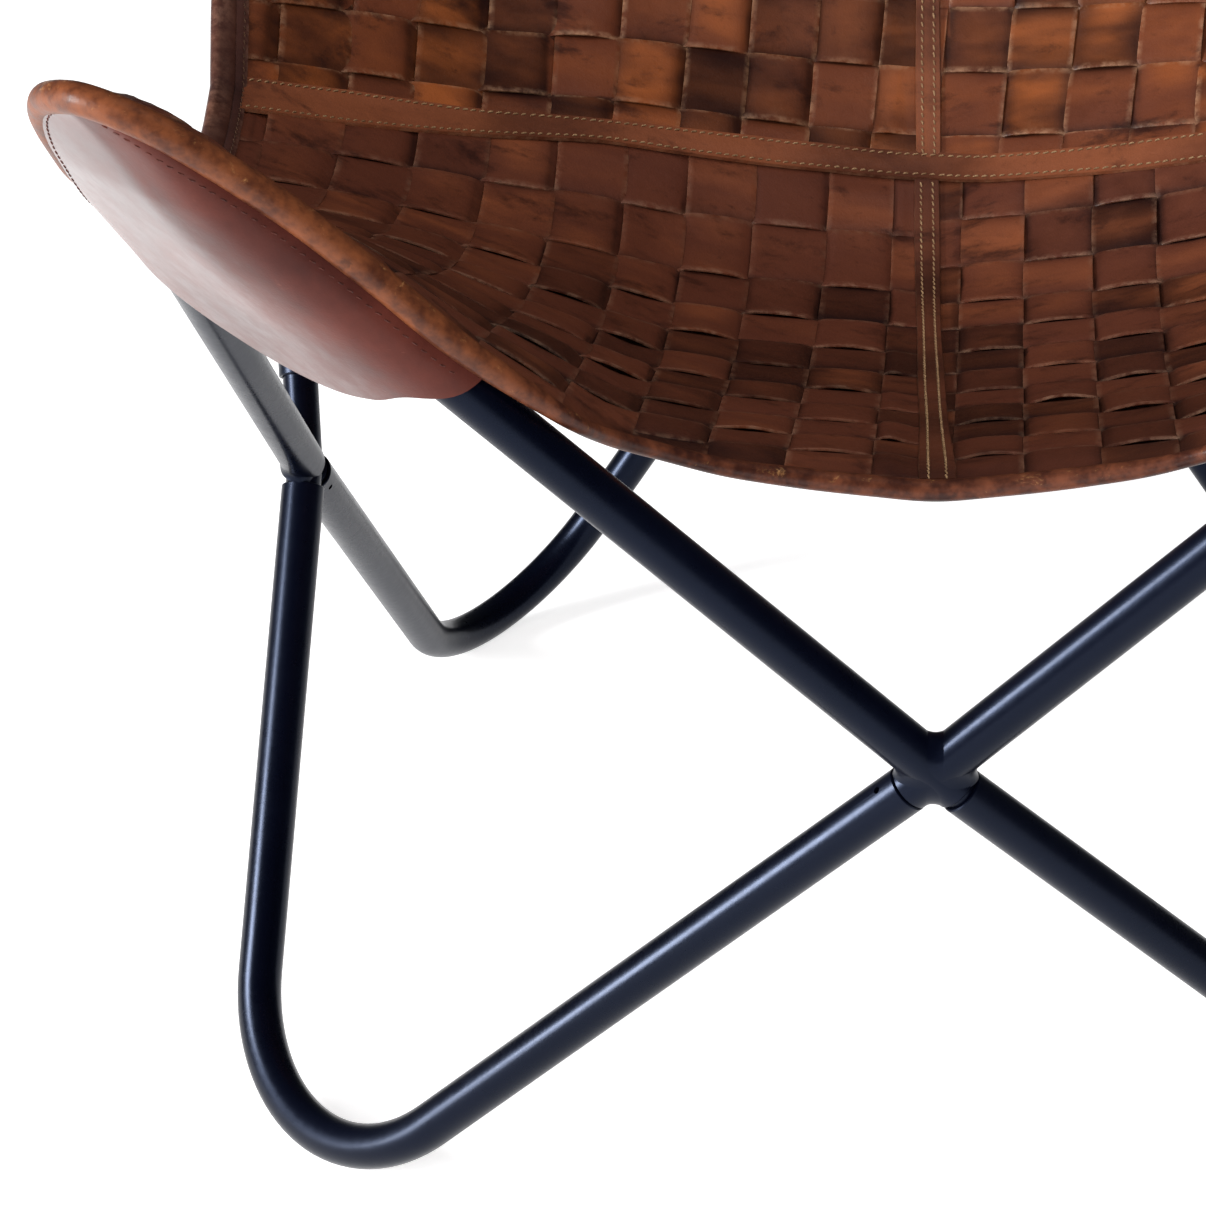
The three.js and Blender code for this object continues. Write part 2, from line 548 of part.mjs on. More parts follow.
// Rolled bindings along the sling's edges.
function roll(points) {
  const tangents = points.map((p, i) => unit(points[Math.max(0, i - 1)], points[Math.min(points.length - 1, i + 1)]));
  return sweep(points, tangents, ROLL_R, 0, 6);
}
piece('front_edge_binding', roll(edgeLine(FRONT_EDGE, 22)), LEATHER_TAN);
piece('top_edge_binding', roll(edgeLine(TOP_EDGE, 19)), LEATHER_DARK);
{
  const pts = [];
  for (let i = 0; i <= 20; i++) pts.push(vec(cubic(seatSide, 0.032 + (0.968 * i) / 20)));
  for (let i = 1; i <= 20; i++) pts.push(vec(cubic(backSide, (0.972 * i) / 20)));
  piece('left_edge_binding', roll(pts), LEATHER_DARK);
  piece('right_edge_binding', roll(pts), LEATHER_DARK, true);
}

// Corner pockets: a belly of leather that hangs from the rolled binding along one
// arm of a bend, passes under both arms and rises to the binding along the other.
// rimA and rimB are those bindings' centre lines, from the tip outwards.
function pocket(corner, armA, armB, rimA, rimB, open, belly) {
  const da = unit(corner, armA), db = unit(corner, armB);
  const along = da.clone().add(db).normalize();
  const across = db.clone().sub(da).normalize();
  const inner = da.clone().cross(db).normalize();
  const local = (pts) => {
    let last = -Infinity;
    return pts.map((p) => {
      const q = p.clone().sub(corner);
      last = Math.max(last + 1e-4, q.dot(along));
      return [last, q.dot(across), q.dot(inner)];
    });
  };
  const a = local(rimA), b = local(rimB), tip = Math.max(a[0][0], b[0][0]) + 0.5;
  const at = (rows, s) => {
    let i = 0;
    while (i < rows.length - 2 && rows[i + 1][0] < s) i++;
    const f = (s - rows[i][0]) / (rows[i + 1][0] - rows[i][0]);
    return [1, 2].map((k) => rows[i][k] + f * (rows[i + 1][k] - rows[i][k]));
  };
  const ns = 11, grid = [];
  for (let i = 0; i <= ns; i++) {
    grid.push(POCKET_SHARES.map((c) => {
      const s = tip + (cubic(open, c)[0] - tip) * (i / ns) ** 1.35;
      const [xa, ha] = at(a, s), [xb, hb] = at(b, s), f = (c + 1) / 2;
      const round = (1 - Math.abs(c) ** POCKET_POWER) ** (1 / POCKET_POWER);
      const x = xa + 1.2 + (xb - xa - 2.4) * f, h = ha + (hb - ha) * f - POCKET_DROP;
      const drop = Math.max(h - cubic(belly, s)[0], 0.5) * round * Math.min(1, (s - tip) / 50) ** 0.5;
      return corner.clone().addScaledVector(along, s).addScaledVector(across, x).addScaledVector(inner, h - drop);
    }));
  }
  return sheet(grid, POCKET_T);
}
const rim = (table, n = 240) => {
  const pts = [];
  for (let i = 0; i <= n; i++) {
    const q = onEdge(table, 1 - (0.7 * i) / n);
    pts.push(vec([-q[0], q[1], q[2]]));
  }
  return pts;
};
let frontRim = rim(FRONT_EDGE), kneeRim = sideLine(seatSide, 240);
{
  // The binding is farthest out a little before its corner; the two rims meet there.
  const along = unit(knee, fx).add(unit(knee, sx)).normalize();
  const far = frontRim.map((p) => p.clone().sub(knee).dot(along));
  const k = far.indexOf(Math.min(...far));
  kneeRim = [...frontRim.slice(0, k + 1).reverse(), ...kneeRim.slice(1)];
  frontRim = frontRim.slice(k);
}
for (const [side, flip] of [['left', false], ['right', true]]) {
  piece(`front_${side}_pocket`, pocket(knee, fx, sx, frontRim, kneeRim, KNEE_POCKET_OPEN, KNEE_POCKET_BELLY), LEATHER_SMOOTH, flip);
  piece(`top_${side}_pocket`, pocket(top, sx, rx, sideLine(backSide, 240).reverse(), rim(TOP_EDGE), TOP_POCKET_OPEN, TOP_POCKET_BELLY), LEATHER_SMOOTH, flip);
}

export default group;
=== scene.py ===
import json
import math
import bpy
import numpy as np
from mathutils import Matrix

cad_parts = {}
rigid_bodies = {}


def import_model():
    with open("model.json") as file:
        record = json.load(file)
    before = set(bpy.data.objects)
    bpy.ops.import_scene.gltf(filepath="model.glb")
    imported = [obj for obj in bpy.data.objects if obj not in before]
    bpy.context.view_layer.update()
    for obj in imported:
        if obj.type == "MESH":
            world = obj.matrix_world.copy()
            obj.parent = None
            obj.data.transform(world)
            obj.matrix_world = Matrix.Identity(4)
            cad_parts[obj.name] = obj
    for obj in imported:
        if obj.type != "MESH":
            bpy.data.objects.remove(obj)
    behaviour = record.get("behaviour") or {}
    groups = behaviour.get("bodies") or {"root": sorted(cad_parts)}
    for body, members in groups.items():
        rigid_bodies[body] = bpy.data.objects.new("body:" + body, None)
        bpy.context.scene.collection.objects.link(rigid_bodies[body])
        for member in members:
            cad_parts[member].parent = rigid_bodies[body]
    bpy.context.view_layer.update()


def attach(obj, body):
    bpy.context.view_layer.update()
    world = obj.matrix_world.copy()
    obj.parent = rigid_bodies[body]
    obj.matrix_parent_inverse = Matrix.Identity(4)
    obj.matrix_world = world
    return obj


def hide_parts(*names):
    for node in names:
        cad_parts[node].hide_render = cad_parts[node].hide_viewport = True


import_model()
rng = np.random.default_rng(11)

# ------------------------------------------------------------------ dimensions
# Millimetres, the same numbers as the solid model's own source.
Y_SHIFT = 18.69
TUBE_R, BORE_R, PIN_R = 11.0, 9.5, 9.1
KNEE, TOP = (-348, -434, 606), (-379, 404, 925)
FRONT_CROSS, REAR_CROSS, SIDE_CROSS = (0, -386, 264), (0, 345, 344), (-319, -44, 255.5)
FRONT_FOOT, REAR_FOOT = (-340, -305, -58), (-278, 305, -58)
BEND_R, FOOT_BEND_R, FOOT_WEAR = 45.0, 90.0, 0.6
CROSS_OVERRUN, SLEEVE_END, SIDE_END, STUB_HEIGHT, SPIGOT_GRIP = 14.0, 16.0, 12.0, 46.0, 60.0
HOLE_R, HOLE_AT = 1.6, 9.2
TUBE_KEEP, BACK_SAG, EVEN_U = 13.3, 24.0, 0.86
FRONT_EDGE = [
    [0, -346, 379], [27.6, -348, 382.2], [60, -353, 388.4], [92.8, -361, 397.3], [119.7, -371, 409.4],
    [137.8, -386, 422], [149.8, -402.5, 435.2], [162.5, -412.6, 448.8], [178, -418.6, 462.9], [194, -422.8, 477.3],
    [229.6, -427.9, 512.3], [261.6, -435.2, 543.2], [287.4, -441.4, 564.8], [308.4, -445.2, 580.0], [331, -442.0, 589.6],
    [342.5, -434.5, 590.2], [351.5, -423.7, 587.1],
]
CROSS_SEAM = [[0, 86, 365], [68, 78, 374], [127.5, 66, 388], [166.5, 55, 398], [238.5, 31, 413.5], [293.5, 1, 432.5], [349, -40, 457]]
TOP_EDGE = [
    [0, 333, 690], [50, 336, 691], [110, 347, 696], [170, 366, 706], [215, 382, 722], [239, 391, 742],
    [272, 396.2, 792], [310, 402.6, 850.6], [316.5, 403.6, 859], [331, 402.5, 876], [346.5, 395, 888], [360, 384.7, 894],
]
SEAT_SIDE = [
    [-351.5, -423.7, 587.1], [-359.5, -409, 581], [-363.8, -394.9, 571.8], [-365, -379.9, 560], [-363.7, -361.3, 543.3],
    [-361.7, -342.2, 527.2], [-358.5, -326, 515.6], [-353.4, -304.4, 502.6], [-348.6, -286.6, 492.9], [-345.1, -268.9, 482.9],
    [-343.6, -248, 471], [-343.2, -200, 455], [-345, -130, 449], [-347, -80, 451], [-349, -40, 457],
]
BACK_SIDE = [
    [-349, -40, 457], [-355, 20, 484], [-360, 80, 530], [-364.5, 150, 606], [-367, 210, 679], [-370.7, 278.7, 768.3],
    [-377, 322.8, 834.8], [-379.4, 339.2, 859.4], [-377.8, 354, 876], [-369.8, 370.5, 887.5], [-360, 384.7, 894],
]
SEAT_CENTRE = [
    [-346, 379], [-333, 379], [-298, 372.5], [-263, 365], [-227, 357.5], [-192, 349.5], [-157, 343], [-121, 338],
    [-86, 333.8], [-50, 331.5], [-14, 331], [20, 336.5], [53, 348.5], [86, 365],
]


# ---------------------------------------------------------------------- camera
def camera():
    f_px, pitch, yaw, roll = 4154.2, math.radians(26.13), math.radians(4.14), math.radians(-1.71)
    fwd = np.array([-math.sin(yaw) * math.cos(pitch), math.cos(yaw) * math.cos(pitch), -math.sin(pitch)])
    right = np.array([math.cos(yaw), math.sin(yaw), 0.0])
    up = np.cross(right, fwd)
    r2 = right * math.cos(roll) + up * math.sin(roll)
    u2 = up * math.cos(roll) - right * math.sin(roll)
    data = bpy.data.cameras.new("camera")
    data.sensor_fit, data.sensor_width = "HORIZONTAL", 36.0
    data.lens = f_px / 1206 * 36.0
    data.clip_start, data.clip_end = 0.05, 100.0
    cam = bpy.data.objects.new("camera", data)
    bpy.context.scene.collection.objects.link(cam)
    m = Matrix.Identity(4)
    for i in range(3):
        m[i][0], m[i][1], m[i][2] = float(r2[i]), float(u2[i]), float(-fwd[i])
    for i, c in enumerate((-0.0272, -1.96291, 1.1290)):
        m[i][3] = c
    cam.matrix_world = m
    bpy.context.scene.camera = cam


# -------------------------------------------------------------------- geometry
def vec(a):
    return np.array([a[0], a[1] + Y_SHIFT, a[2]], float)


def unit(v):
    v = np.asarray(v, float)
    return v / np.maximum(np.linalg.norm(v, axis=-1, keepdims=True), 1e-12)


def toward(a, b, d):
    return a + unit(b - a) * d


def mir(p):
    return np.asarray(p, float) * np.array([-1.0, 1.0, 1.0])


def smooth01(t):
    t = np.clip(t, 0, 1)
    return t * t * (3 - 2 * t)


def cubic(rows, t, even=False):
    """Piecewise cubic through a table's rows; column 0 is the parameter."""
    rows, t = np.asarray(rows, float), np.asarray(t, float)
    x, y = rows[:, 0], rows[:, 1:]
    h = np.diff(x)
    s = (y[1:] - y[:-1]) / h[:, None]
    m = np.empty_like(y)
    m[0] = 0 if even else s[0]
    m[-1] = s[-1]
    m[1:-1] = (h[1:, None] * s[:-1] + h[:-1, None] * s[1:]) / (h[:-1] + h[1:])[:, None]
    i = np.clip(np.searchsorted(x, t, side="left") - 1, 0, len(x) - 2)
    hh = h[i][..., None]
    f = ((t - x[i]) / h[i])[..., None]
    f2, f3 = f * f, f * f * f
    return (2 * f3 - 3 * f2 + 1) * y[i] + (f3 - 2 * f2 + f) * hh * m[i] + (3 * f2 - 2 * f3) * y[i + 1] + (f3 - f2) * hh * m[i + 1]


def by_length(points):
    p = np.asarray(points, float)
    s = np.concatenate([[0], np.cumsum(np.linalg.norm(np.diff(p, axis=0), axis=1))])
    return np.column_stack([s / s[-1], p])


def resample(p, step=None, n=None):
    p = np.asarray(p, float)
    s = np.concatenate([[0], np.cumsum(np.linalg.norm(np.diff(p, axis=0), axis=1))])
    n = n or max(2, int(round(s[-1] / step)) + 1)
    t = np.linspace(0, s[-1], n)
    return np.column_stack([np.interp(t, s, p[:, k]) for k in range(p.shape[1])])


SEAT_SIDE_T, BACK_SIDE_T, SEAT_CENTRE_T = by_length(SEAT_SIDE), by_length(BACK_SIDE), by_length(SEAT_CENTRE)
knee, top, fx, rx, sx = map(vec, (KNEE, TOP, FRONT_CROSS, REAR_CROSS, SIDE_CROSS))


def vee_line(a, apex, b, radius, steps, arm=1):
    """Centre line of a V-bent tube, with its tangents. arm is the number of stretches in each straight arm."""
    da, db = unit(a - apex), unit(b - apex)
    half = math.acos(float(da @ db)) / 2
    run = radius / math.tan(half)
    centre = apex + unit(da + db) * radius / math.sin(half)
    va, vb = apex + da * run - centre, apex + db * run - centre
    turn = math.pi - 2 * half
    pts, tan = [], []
    for i in range(arm):
        pts.append(a + (centre + va - a) * i / arm)
        tan.append(-da)
    for i in range(steps + 1):
        t = turn * i / steps
        pts.append(centre + va * math.sin(turn - t) / math.sin(turn) + vb * math.sin(t) / math.sin(turn))
        tan.append(unit(-va * math.cos(turn - t) + vb * math.cos(t)))
    for i in range(1, arm + 1):
        pts.append(centre + vb + (b - centre - vb) * i / arm)
        tan.append(db)
    return np.array(pts), np.array(tan)


RESTS = [
    (vee_line(a, apex, b, BEND_R, 16)[0], unit(np.cross(unit(a - apex), unit(b - apex))))
    for a, apex, b in ((fx, knee, sx), (sx, top, rx))
]


def keep_off(p):
    for line, up in RESTS:
        best, near = np.full(len(p), 1e18), np.zeros_like(p)
        for q0, q1 in zip(line[:-1], line[1:]):
            d = q1 - q0
            q = q0 + np.clip((p - q0) @ d / (d @ d), 0, 1)[:, None] * d
            dist = ((p - q) ** 2).sum(1)
            m = dist < best
            best[m], near[m] = dist[m], q[m]
        b = (p - near) @ up
        c2 = best - b * b
        lift = np.where(c2 < TUBE_KEEP**2, np.maximum(0, np.sqrt(np.maximum(TUBE_KEEP**2 - c2, 0)) - b), 0)
        p = p + lift[:, None] * up
    return p


def on_edge(table, ua):
    x = ua * table[-1][0]
    return np.column_stack([x, cubic(table, x, True)])


def sling(part, u, v):
    """Points of the sling's middle surface: u from -1 to 1 across, v from 0 to 1 backwards or upwards."""
    u, v = np.broadcast_arrays(np.asarray(u, float), np.asarray(v, float))
    shape = u.shape
    u, v = u.ravel(), v.ravel()
    ua = np.abs(u)
    w = ua**4
    seat = part == "seat"
    a, b = (on_edge(FRONT_EDGE, ua), on_edge(CROSS_SEAM, ua)) if seat else (on_edge(CROSS_SEAM, ua), on_edge(TOP_EDGE, ua))
    side = SEAT_SIDE_T if seat else BACK_SIDE_T
    v1 = v[:, None]
    dc = np.zeros((len(u), 3))
    if seat:
        dc[:, 1:] = cubic(SEAT_CENTRE_T, v) - (1 - v1) * np.array(SEAT_CENTRE[0]) - v1 * np.array(SEAT_CENTRE[-1])
    else:
        rise, run = TOP_EDGE[0][2] - CROSS_SEAM[0][2], TOP_EDGE[0][1] - CROSS_SEAM[0][1]
        s = BACK_SAG * 6.75 * v * (1 - v) ** 2 / math.hypot(rise, run)
        dc[:, 1], dc[:, 2] = s * rise, -s * run
    a[:, 0] *= -1
    b[:, 0] *= -1
    ds = cubic(side, v) - (1 - v1) * side[0, 1:] - v1 * side[-1, 1:]
    q = (1 - v1) * a + v1 * b + (1 - w)[:, None] * dc + w[:, None] * ds
    q[:, 1] += Y_SHIFT
    p = keep_off(q)
    p[:, 0] = np.where(u > 0, -p[:, 0], p[:, 0])
    return p.reshape(shape + (3,))


def nearest(line, p):
    best, near = np.full(len(p), 1e18), np.zeros_like(p)
    for q0, q1 in zip(line[:-1], line[1:]):
        d = q1 - q0
        q = q0 + np.clip((p - q0) @ d / (d @ d), 0, 1)[:, None] * d
        dist = ((p - q) ** 2).sum(1)
        m = dist < best
        best[m], near[m] = dist[m], q[m]
    return near


class Surface:
    """The sling's seat or back by (x, d): d is the distance from the cross seam along the leather."""

    def __init__(self, part):
        self.part, self.nu, self.nv = part, 481, 481
        self.u, self.v = np.linspace(-1, 1, self.nu), np.linspace(0, 1, self.nv)
        self.p = sling(part, self.u[:, None], self.v[None, :])
        # The outer strips are spaced evenly along the leather where it wraps round a tube.
        edge = sling(part, -np.linspace(EVEN_U, 1, 181)[:, None], self.v[None, :])
        run = np.concatenate([np.zeros((1, self.nv)), np.cumsum(np.linalg.norm(np.diff(edge, axis=0), axis=2), axis=0)])
        k = np.flatnonzero(self.u < -EVEN_U)
        want = (-self.u[k] - EVEN_U) / (1 - EVEN_U)
        for j in range(self.nv):
            for c in range(3):
                self.p[k, j, c] = np.interp(want * run[-1, j], run[:, j], edge[:, j, c])
        self.p[self.nu - 1 - k] = mir(self.p[k])
        flat = self.p.reshape(-1, 3) * np.where(self.p.reshape(-1, 3)[:, :1] > 0, [-1.0, 1, 1], [1.0, 1, 1])
        self.off = np.min([np.linalg.norm(flat - nearest(line, flat), axis=1) for line, up in RESTS], axis=0).reshape(self.nu, self.nv)
        n = np.cross(np.gradient(self.p, axis=0), np.gradient(self.p, axis=1))
        n = unit(n)
        for _ in range(3):
            n = unit(n + 0.5 * (np.roll(n, 1, 0) + np.roll(n, -1, 0)) * (np.abs(np.arange(self.nu) - 240) < 239)[:, None, None])
        self.n = n
        s = np.concatenate([np.zeros((self.nu, 1)), np.cumsum(np.linalg.norm(np.diff(self.p, axis=1), axis=2), axis=1)], axis=1)
        self.long = s[:, -1]
        self.k = np.linspace(0, 1, 241)
        self.vt = np.empty((self.nu, 241))
        for i in range(self.nu):
            self.vt[i] = np.interp(self.k, s[i] / s[i, -1], self.v) if part == "back" else np.interp(self.k, 1 - s[i, ::-1] / s[i, -1], self.v[::-1])

    def length(self, u):
        return np.interp(u, self.u, self.long)

    def u_of(self, x, d):
        return x / (349.0 + (11.0 if self.part == "back" else 2.5) * np.clip(d / 425.0, 0, 1))

    def _mix(self, table, u, y, ny):
        a, b = np.clip((u + 1) / 2 * (self.nu - 1), 0, self.nu - 1.001), np.clip(y * (ny - 1), 0, ny - 1.001)
        i, j = a.astype(int), b.astype(int)
        f, g = a - i, b - j
        if table.ndim == 3:
            f, g = f[..., None], g[..., None]
        return (1 - f) * ((1 - g) * table[i, j] + g * table[i, j + 1]) + f * ((1 - g) * table[i + 1, j] + g * table[i + 1, j + 1])

    def at(self, u, d):
        """Point and sitter-side normal at u, d (arrays)."""
        v = self._mix(self.vt, u, d / self.length(u), 241)
        return self._mix(self.p, u, v, self.nv), unit(self._mix(self.n, u, v, self.nv))

    def calm(self, u, d):
        """1 in the open, less where the leather is pulled flat over a tube."""
        v = self._mix(self.vt, u, d / self.length(u), 241)
        return 0.3 + 0.7 * smooth01((self._mix(self.off, u, v, self.nv) - TUBE_KEEP - 2) / 16)


SEAT, BACK = Surface("seat"), Surface("back")


# ------------------------------------------------------------------ mesh helpers
def quads(nu, nv, wrap=False):
    i, j = np.meshgrid(np.arange(nu if wrap else nu - 1), np.arange(nv - 1), indexing="ij")
    i, j = i.ravel(), j.ravel()
    k = (i + 1) % nu
    return np.column_stack([i * nv + j, k * nv + j, k * nv + j + 1, i * nv + j + 1])


class Bag:
    """Collects vertices, faces and point attributes of one piece."""

    def __init__(self):
        self.v, self.q, self.t, self.a, self.n = [], [], [], {}, 0

    def add(self, verts, q=None, t=None, **attrs):
        verts = np.asarray(verts, float).reshape(-1, 3)
        if q is not None and len(q):
            self.q.append(np.asarray(q) + self.n)
        if t is not None and len(t):
            self.t.append(np.asarray(t) + self.n)
        for k, x in attrs.items():
            self.a.setdefault(k, []).append((self.n, np.broadcast_to(np.asarray(x, float), (len(verts),)) if np.ndim(x) == 0 else np.asarray(x, float).ravel()))
        self.v.append(verts)
        self.n += len(verts)

    def slab(self, top_side, low_side, **attrs):
        """Closed thin solid between two grids of points; attrs are arrays on one grid."""
        nu, nv = top_side.shape[:2]
        m = nu * nv
        f = quads(nu, nv)
        faces = [f, f[:, ::-1] + m]
        i, j = np.arange(nu - 1), np.arange(nv - 1)
        for c in (0, nv - 1):
            a, b = i * nv + c, (i + 1) * nv + c
            w = np.column_stack([a, a + m, b + m, b])
            faces.append(w if c == 0 else w[:, ::-1])
        for r in (0, nu - 1):
            a, b = r * nv + j, r * nv + j + 1
            w = np.column_stack([a, b, b + m, a + m])
            faces.append(w if r == 0 else w[:, ::-1])
        self.add(np.concatenate([top_side.reshape(-1, 3), low_side.reshape(-1, 3)]), np.concatenate(faces),
                 **{k: np.concatenate([np.asarray(x).ravel()] * 2) for k, x in attrs.items()})


def volume(v, tri):
    a, b, c = v[tri[:, 0]], v[tri[:, 1]], v[tri[:, 2]]
    return float((a * np.cross(b, c)).sum() / 6)


def piece(name, bag, material, replaces=(), angle=38.0):
    """A Blender object from a Bag, in metres, riding on the frame's body."""
    v = np.concatenate(bag.v)
    q = np.concatenate(bag.q) if bag.q else np.zeros((0, 4), int)
    t = np.concatenate(bag.t) if bag.t else np.zeros((0, 3), int)
    if volume(v, np.concatenate([q[:, [0, 1, 2]], q[:, [0, 2, 3]], t])) < 0:
        q, t = q[:, ::-1], t[:, ::-1]
    me = bpy.data.meshes.new(name)
    me.vertices.add(len(v))
    me.vertices.foreach_set("co", (v * 0.001).astype(np.float32).ravel())
    me.loops.add(q.size + t.size)
    me.loops.foreach_set("vertex_index", np.concatenate([q.ravel(), t.ravel()]).astype(np.int32))
    me.polygons.add(len(q) + len(t))
    sizes = np.concatenate([np.full(len(q), 4), np.full(len(t), 3)])
    me.polygons.foreach_set("loop_start", np.concatenate([[0], np.cumsum(sizes)[:-1]]).astype(np.int32))
    me.update(calc_edges=True)
    me.validate()
    for k, parts in bag.a.items():
        x = np.zeros(len(v), np.float32)
        for at, vals in parts:
            x[at:at + len(vals)] = vals
        me.attributes.new(k, "FLOAT", "POINT").data.foreach_set("value", x)
    me.shade_smooth()
    me.set_sharp_from_angle(angle=math.radians(angle))
    me.materials.append(material)
    o = bpy.data.objects.new(name, me)
    bpy.context.scene.collection.objects.link(o)
    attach(o, "root")
    if replaces:
        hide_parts(*replaces)
    return o


def frames(pts, tan, start=None):
    """Two directions square to a path at each of its points, turning as little as they can."""
    n = np.empty_like(pts)
    ref = np.array([0.0, 0.0, 1.0]) if start is None else np.asarray(start, float)
    if abs(ref @ tan[0]) > 0.95:
        ref = np.array([1.0, 0.0, 0.0])
    n[0] = unit(ref - (ref @ tan[0]) * tan[0])
    for i in range(1, len(pts)):
        w = n[i - 1] - (n[i - 1] @ tan[i]) * tan[i]
        n[i] = unit(w)
    return n, np.cross(tan, n)


def tangents(p):
    t = np.empty_like(p)
    t[1:-1] = p[2:] - p[:-2]
    t[0], t[-1] = p[1] - p[0], p[-1] - p[-2]
    return unit(t)


def hit(p, d, a, b, r):
    """How far along d from p a line first meets the round bar of radius r about a-b (0 if it doesn't)."""
    ax = unit(b - a)
    dp, dd = (p - a) - ((p - a) @ ax)[:, None] * ax, d - (d @ ax) * ax
    A, B, C = dd @ dd, 2 * dp @ dd, (dp**2).sum(1) - r * r
    disc = B * B - 4 * A * C
    return np.where(disc > 0, (-B - np.sqrt(np.maximum(disc, 0))) / (2 * A), -B / (2 * A))


def tube(bag, pts, tan, cuts=(None, None), sides=40, r=TUBE_R, bore=BORE_R, chamfer=0.5):
    """Hollow round tube along a path. cuts: the round bar that each end is shaped onto, as (a, b, radius)."""
    n, m = frames(pts, tan)
    ang = np.linspace(0, 2 * math.pi, sides, endpoint=False)
    ring = np.cos(ang)[:, None, None] * n[None] + np.sin(ang)[:, None, None] * m[None]
    outer, inner = pts[None] + ring * r, pts[None] + ring * bore
    saddles = []
    for k, cut in ((0, cuts[0]), (-1, cuts[1])):
        d = -tan[0] if k == 0 else tan[-1]
        if cut is None:
            outer[:, k] -= d * chamfer
            continue
        for g in (outer, inner):
            g[:, k] += d * np.clip(hit(g[:, k], d, *cut), -60, 60)[:, None]
        saddles.append(outer[:, k].copy())
    rows = [outer]
    if cuts[0] is None:
        rows.insert(0, (pts[0] + ring[:, 0] * (r - chamfer))[:, None])
    if cuts[1] is None:
        rows.append((pts[-1] + ring[:, -1] * (r - chamfer))[:, None])
    rows.append(inner[:, ::-1])
    loop = np.concatenate(rows, axis=1)
    loop = np.concatenate([loop, loop[:, :1]], axis=1)
    nv = loop.shape[1]
    f = quads(sides, nv, wrap=True)
    f[f % nv == nv - 1] -= nv - 1
    keep = np.unique(f)
    back = np.zeros(sides * nv, int)
    back[keep] = np.arange(len(keep))
    bag.add(loop.reshape(-1, 3)[keep], back[f])
    return saddles


def bar(bag, pts, r, sides=32, chamfer=1.0):
    """Solid round bar through a few points, with chamfered ends."""
    pts = np.asarray(pts, float)
    tan = tangents(pts)
    n, m = frames(pts, tan)
    ang = np.linspace(0, 2 * math.pi, sides, endpoint=False)
    ring = np.cos(ang)[:, None, None] * n[None] + np.sin(ang)[:, None, None] * m[None]
    a = [(pts[0] + ring[:, 0] * (r - chamfer)), (pts[0] + tan[0] * chamfer + ring[:, 0] * r)]
    mid = [pts[i] + ring[:, i] * r for i in range(1, len(pts) - 1)]
    z = [(pts[-1] - tan[-1] * chamfer + ring[:, -1] * r), (pts[-1] + ring[:, -1] * (r - chamfer))]
    g = np.stack(a + mid + z, axis=1)
    nv = g.shape[1]
    v = np.concatenate([g.reshape(-1, 3), pts[:1], pts[-1:]])
    i = np.arange(sides)
    k = (i + 1) % sides
    caps = np.concatenate([np.column_stack([k * nv, i * nv, np.full(sides, sides * nv)]),
                           np.column_stack([i * nv + nv - 1, k * nv + nv - 1, np.full(sides, sides * nv + 1)])])
    bag.add(v, quads(sides, nv, wrap=True), caps)


def fillet(bag, loop, away, a, b, r, w, k=8):
    """Weld ground to a hollow fillet, between a tube's end (a closed loop of points, the tube leaving along away) and the round bar a-b of radius r."""
    p = resample(np.vstack([loop, loop[:1]]), n=73)[:-1]
    t = unit(np.roll(p, -1, 0) - np.roll(p, 1, 0))
    ax, centre = unit(b - a), p.mean(0)

    def on_bar(q, radius):
        foot = a + ((q - a) @ ax)[:, None] * ax
        return foot + unit(q - foot) * radius

    na = unit(p - on_bar(p, 0.0))
    side = np.cross(na, t)
    side *= np.sign(((p - centre) * side).sum(1))[:, None]
    nb = unit((p - centre) - ((p - centre) @ away)[:, None] * away)
    qa, qb = on_bar(p + w * side, r - 0.12), p + w * away - nb * 0.12
    f = np.linspace(0, 1, k)[None, :, None]
    chord = (1 - f) * qb[:, None] + f * qa[:, None]
    curve = (1 - f) ** 2 * qb[:, None] + 2 * f * (1 - f) * p[:, None] + f * f * qa[:, None]
    rows = np.concatenate([0.45 * chord + 0.55 * curve, (p - 1.3 * na - 1.3 * nb)[:, None]], axis=1)
    m = rows.shape[1]
    i, j = np.meshgrid(np.arange(len(p)), np.arange(m), indexing="ij")
    i, j = i.ravel(), j.ravel()
    i2, j2 = (i + 1) % len(p), (j + 1) % m
    bag.add(rows, np.column_stack([i * m + j, i2 * m + j, i2 * m + j2, i * m + j2]))


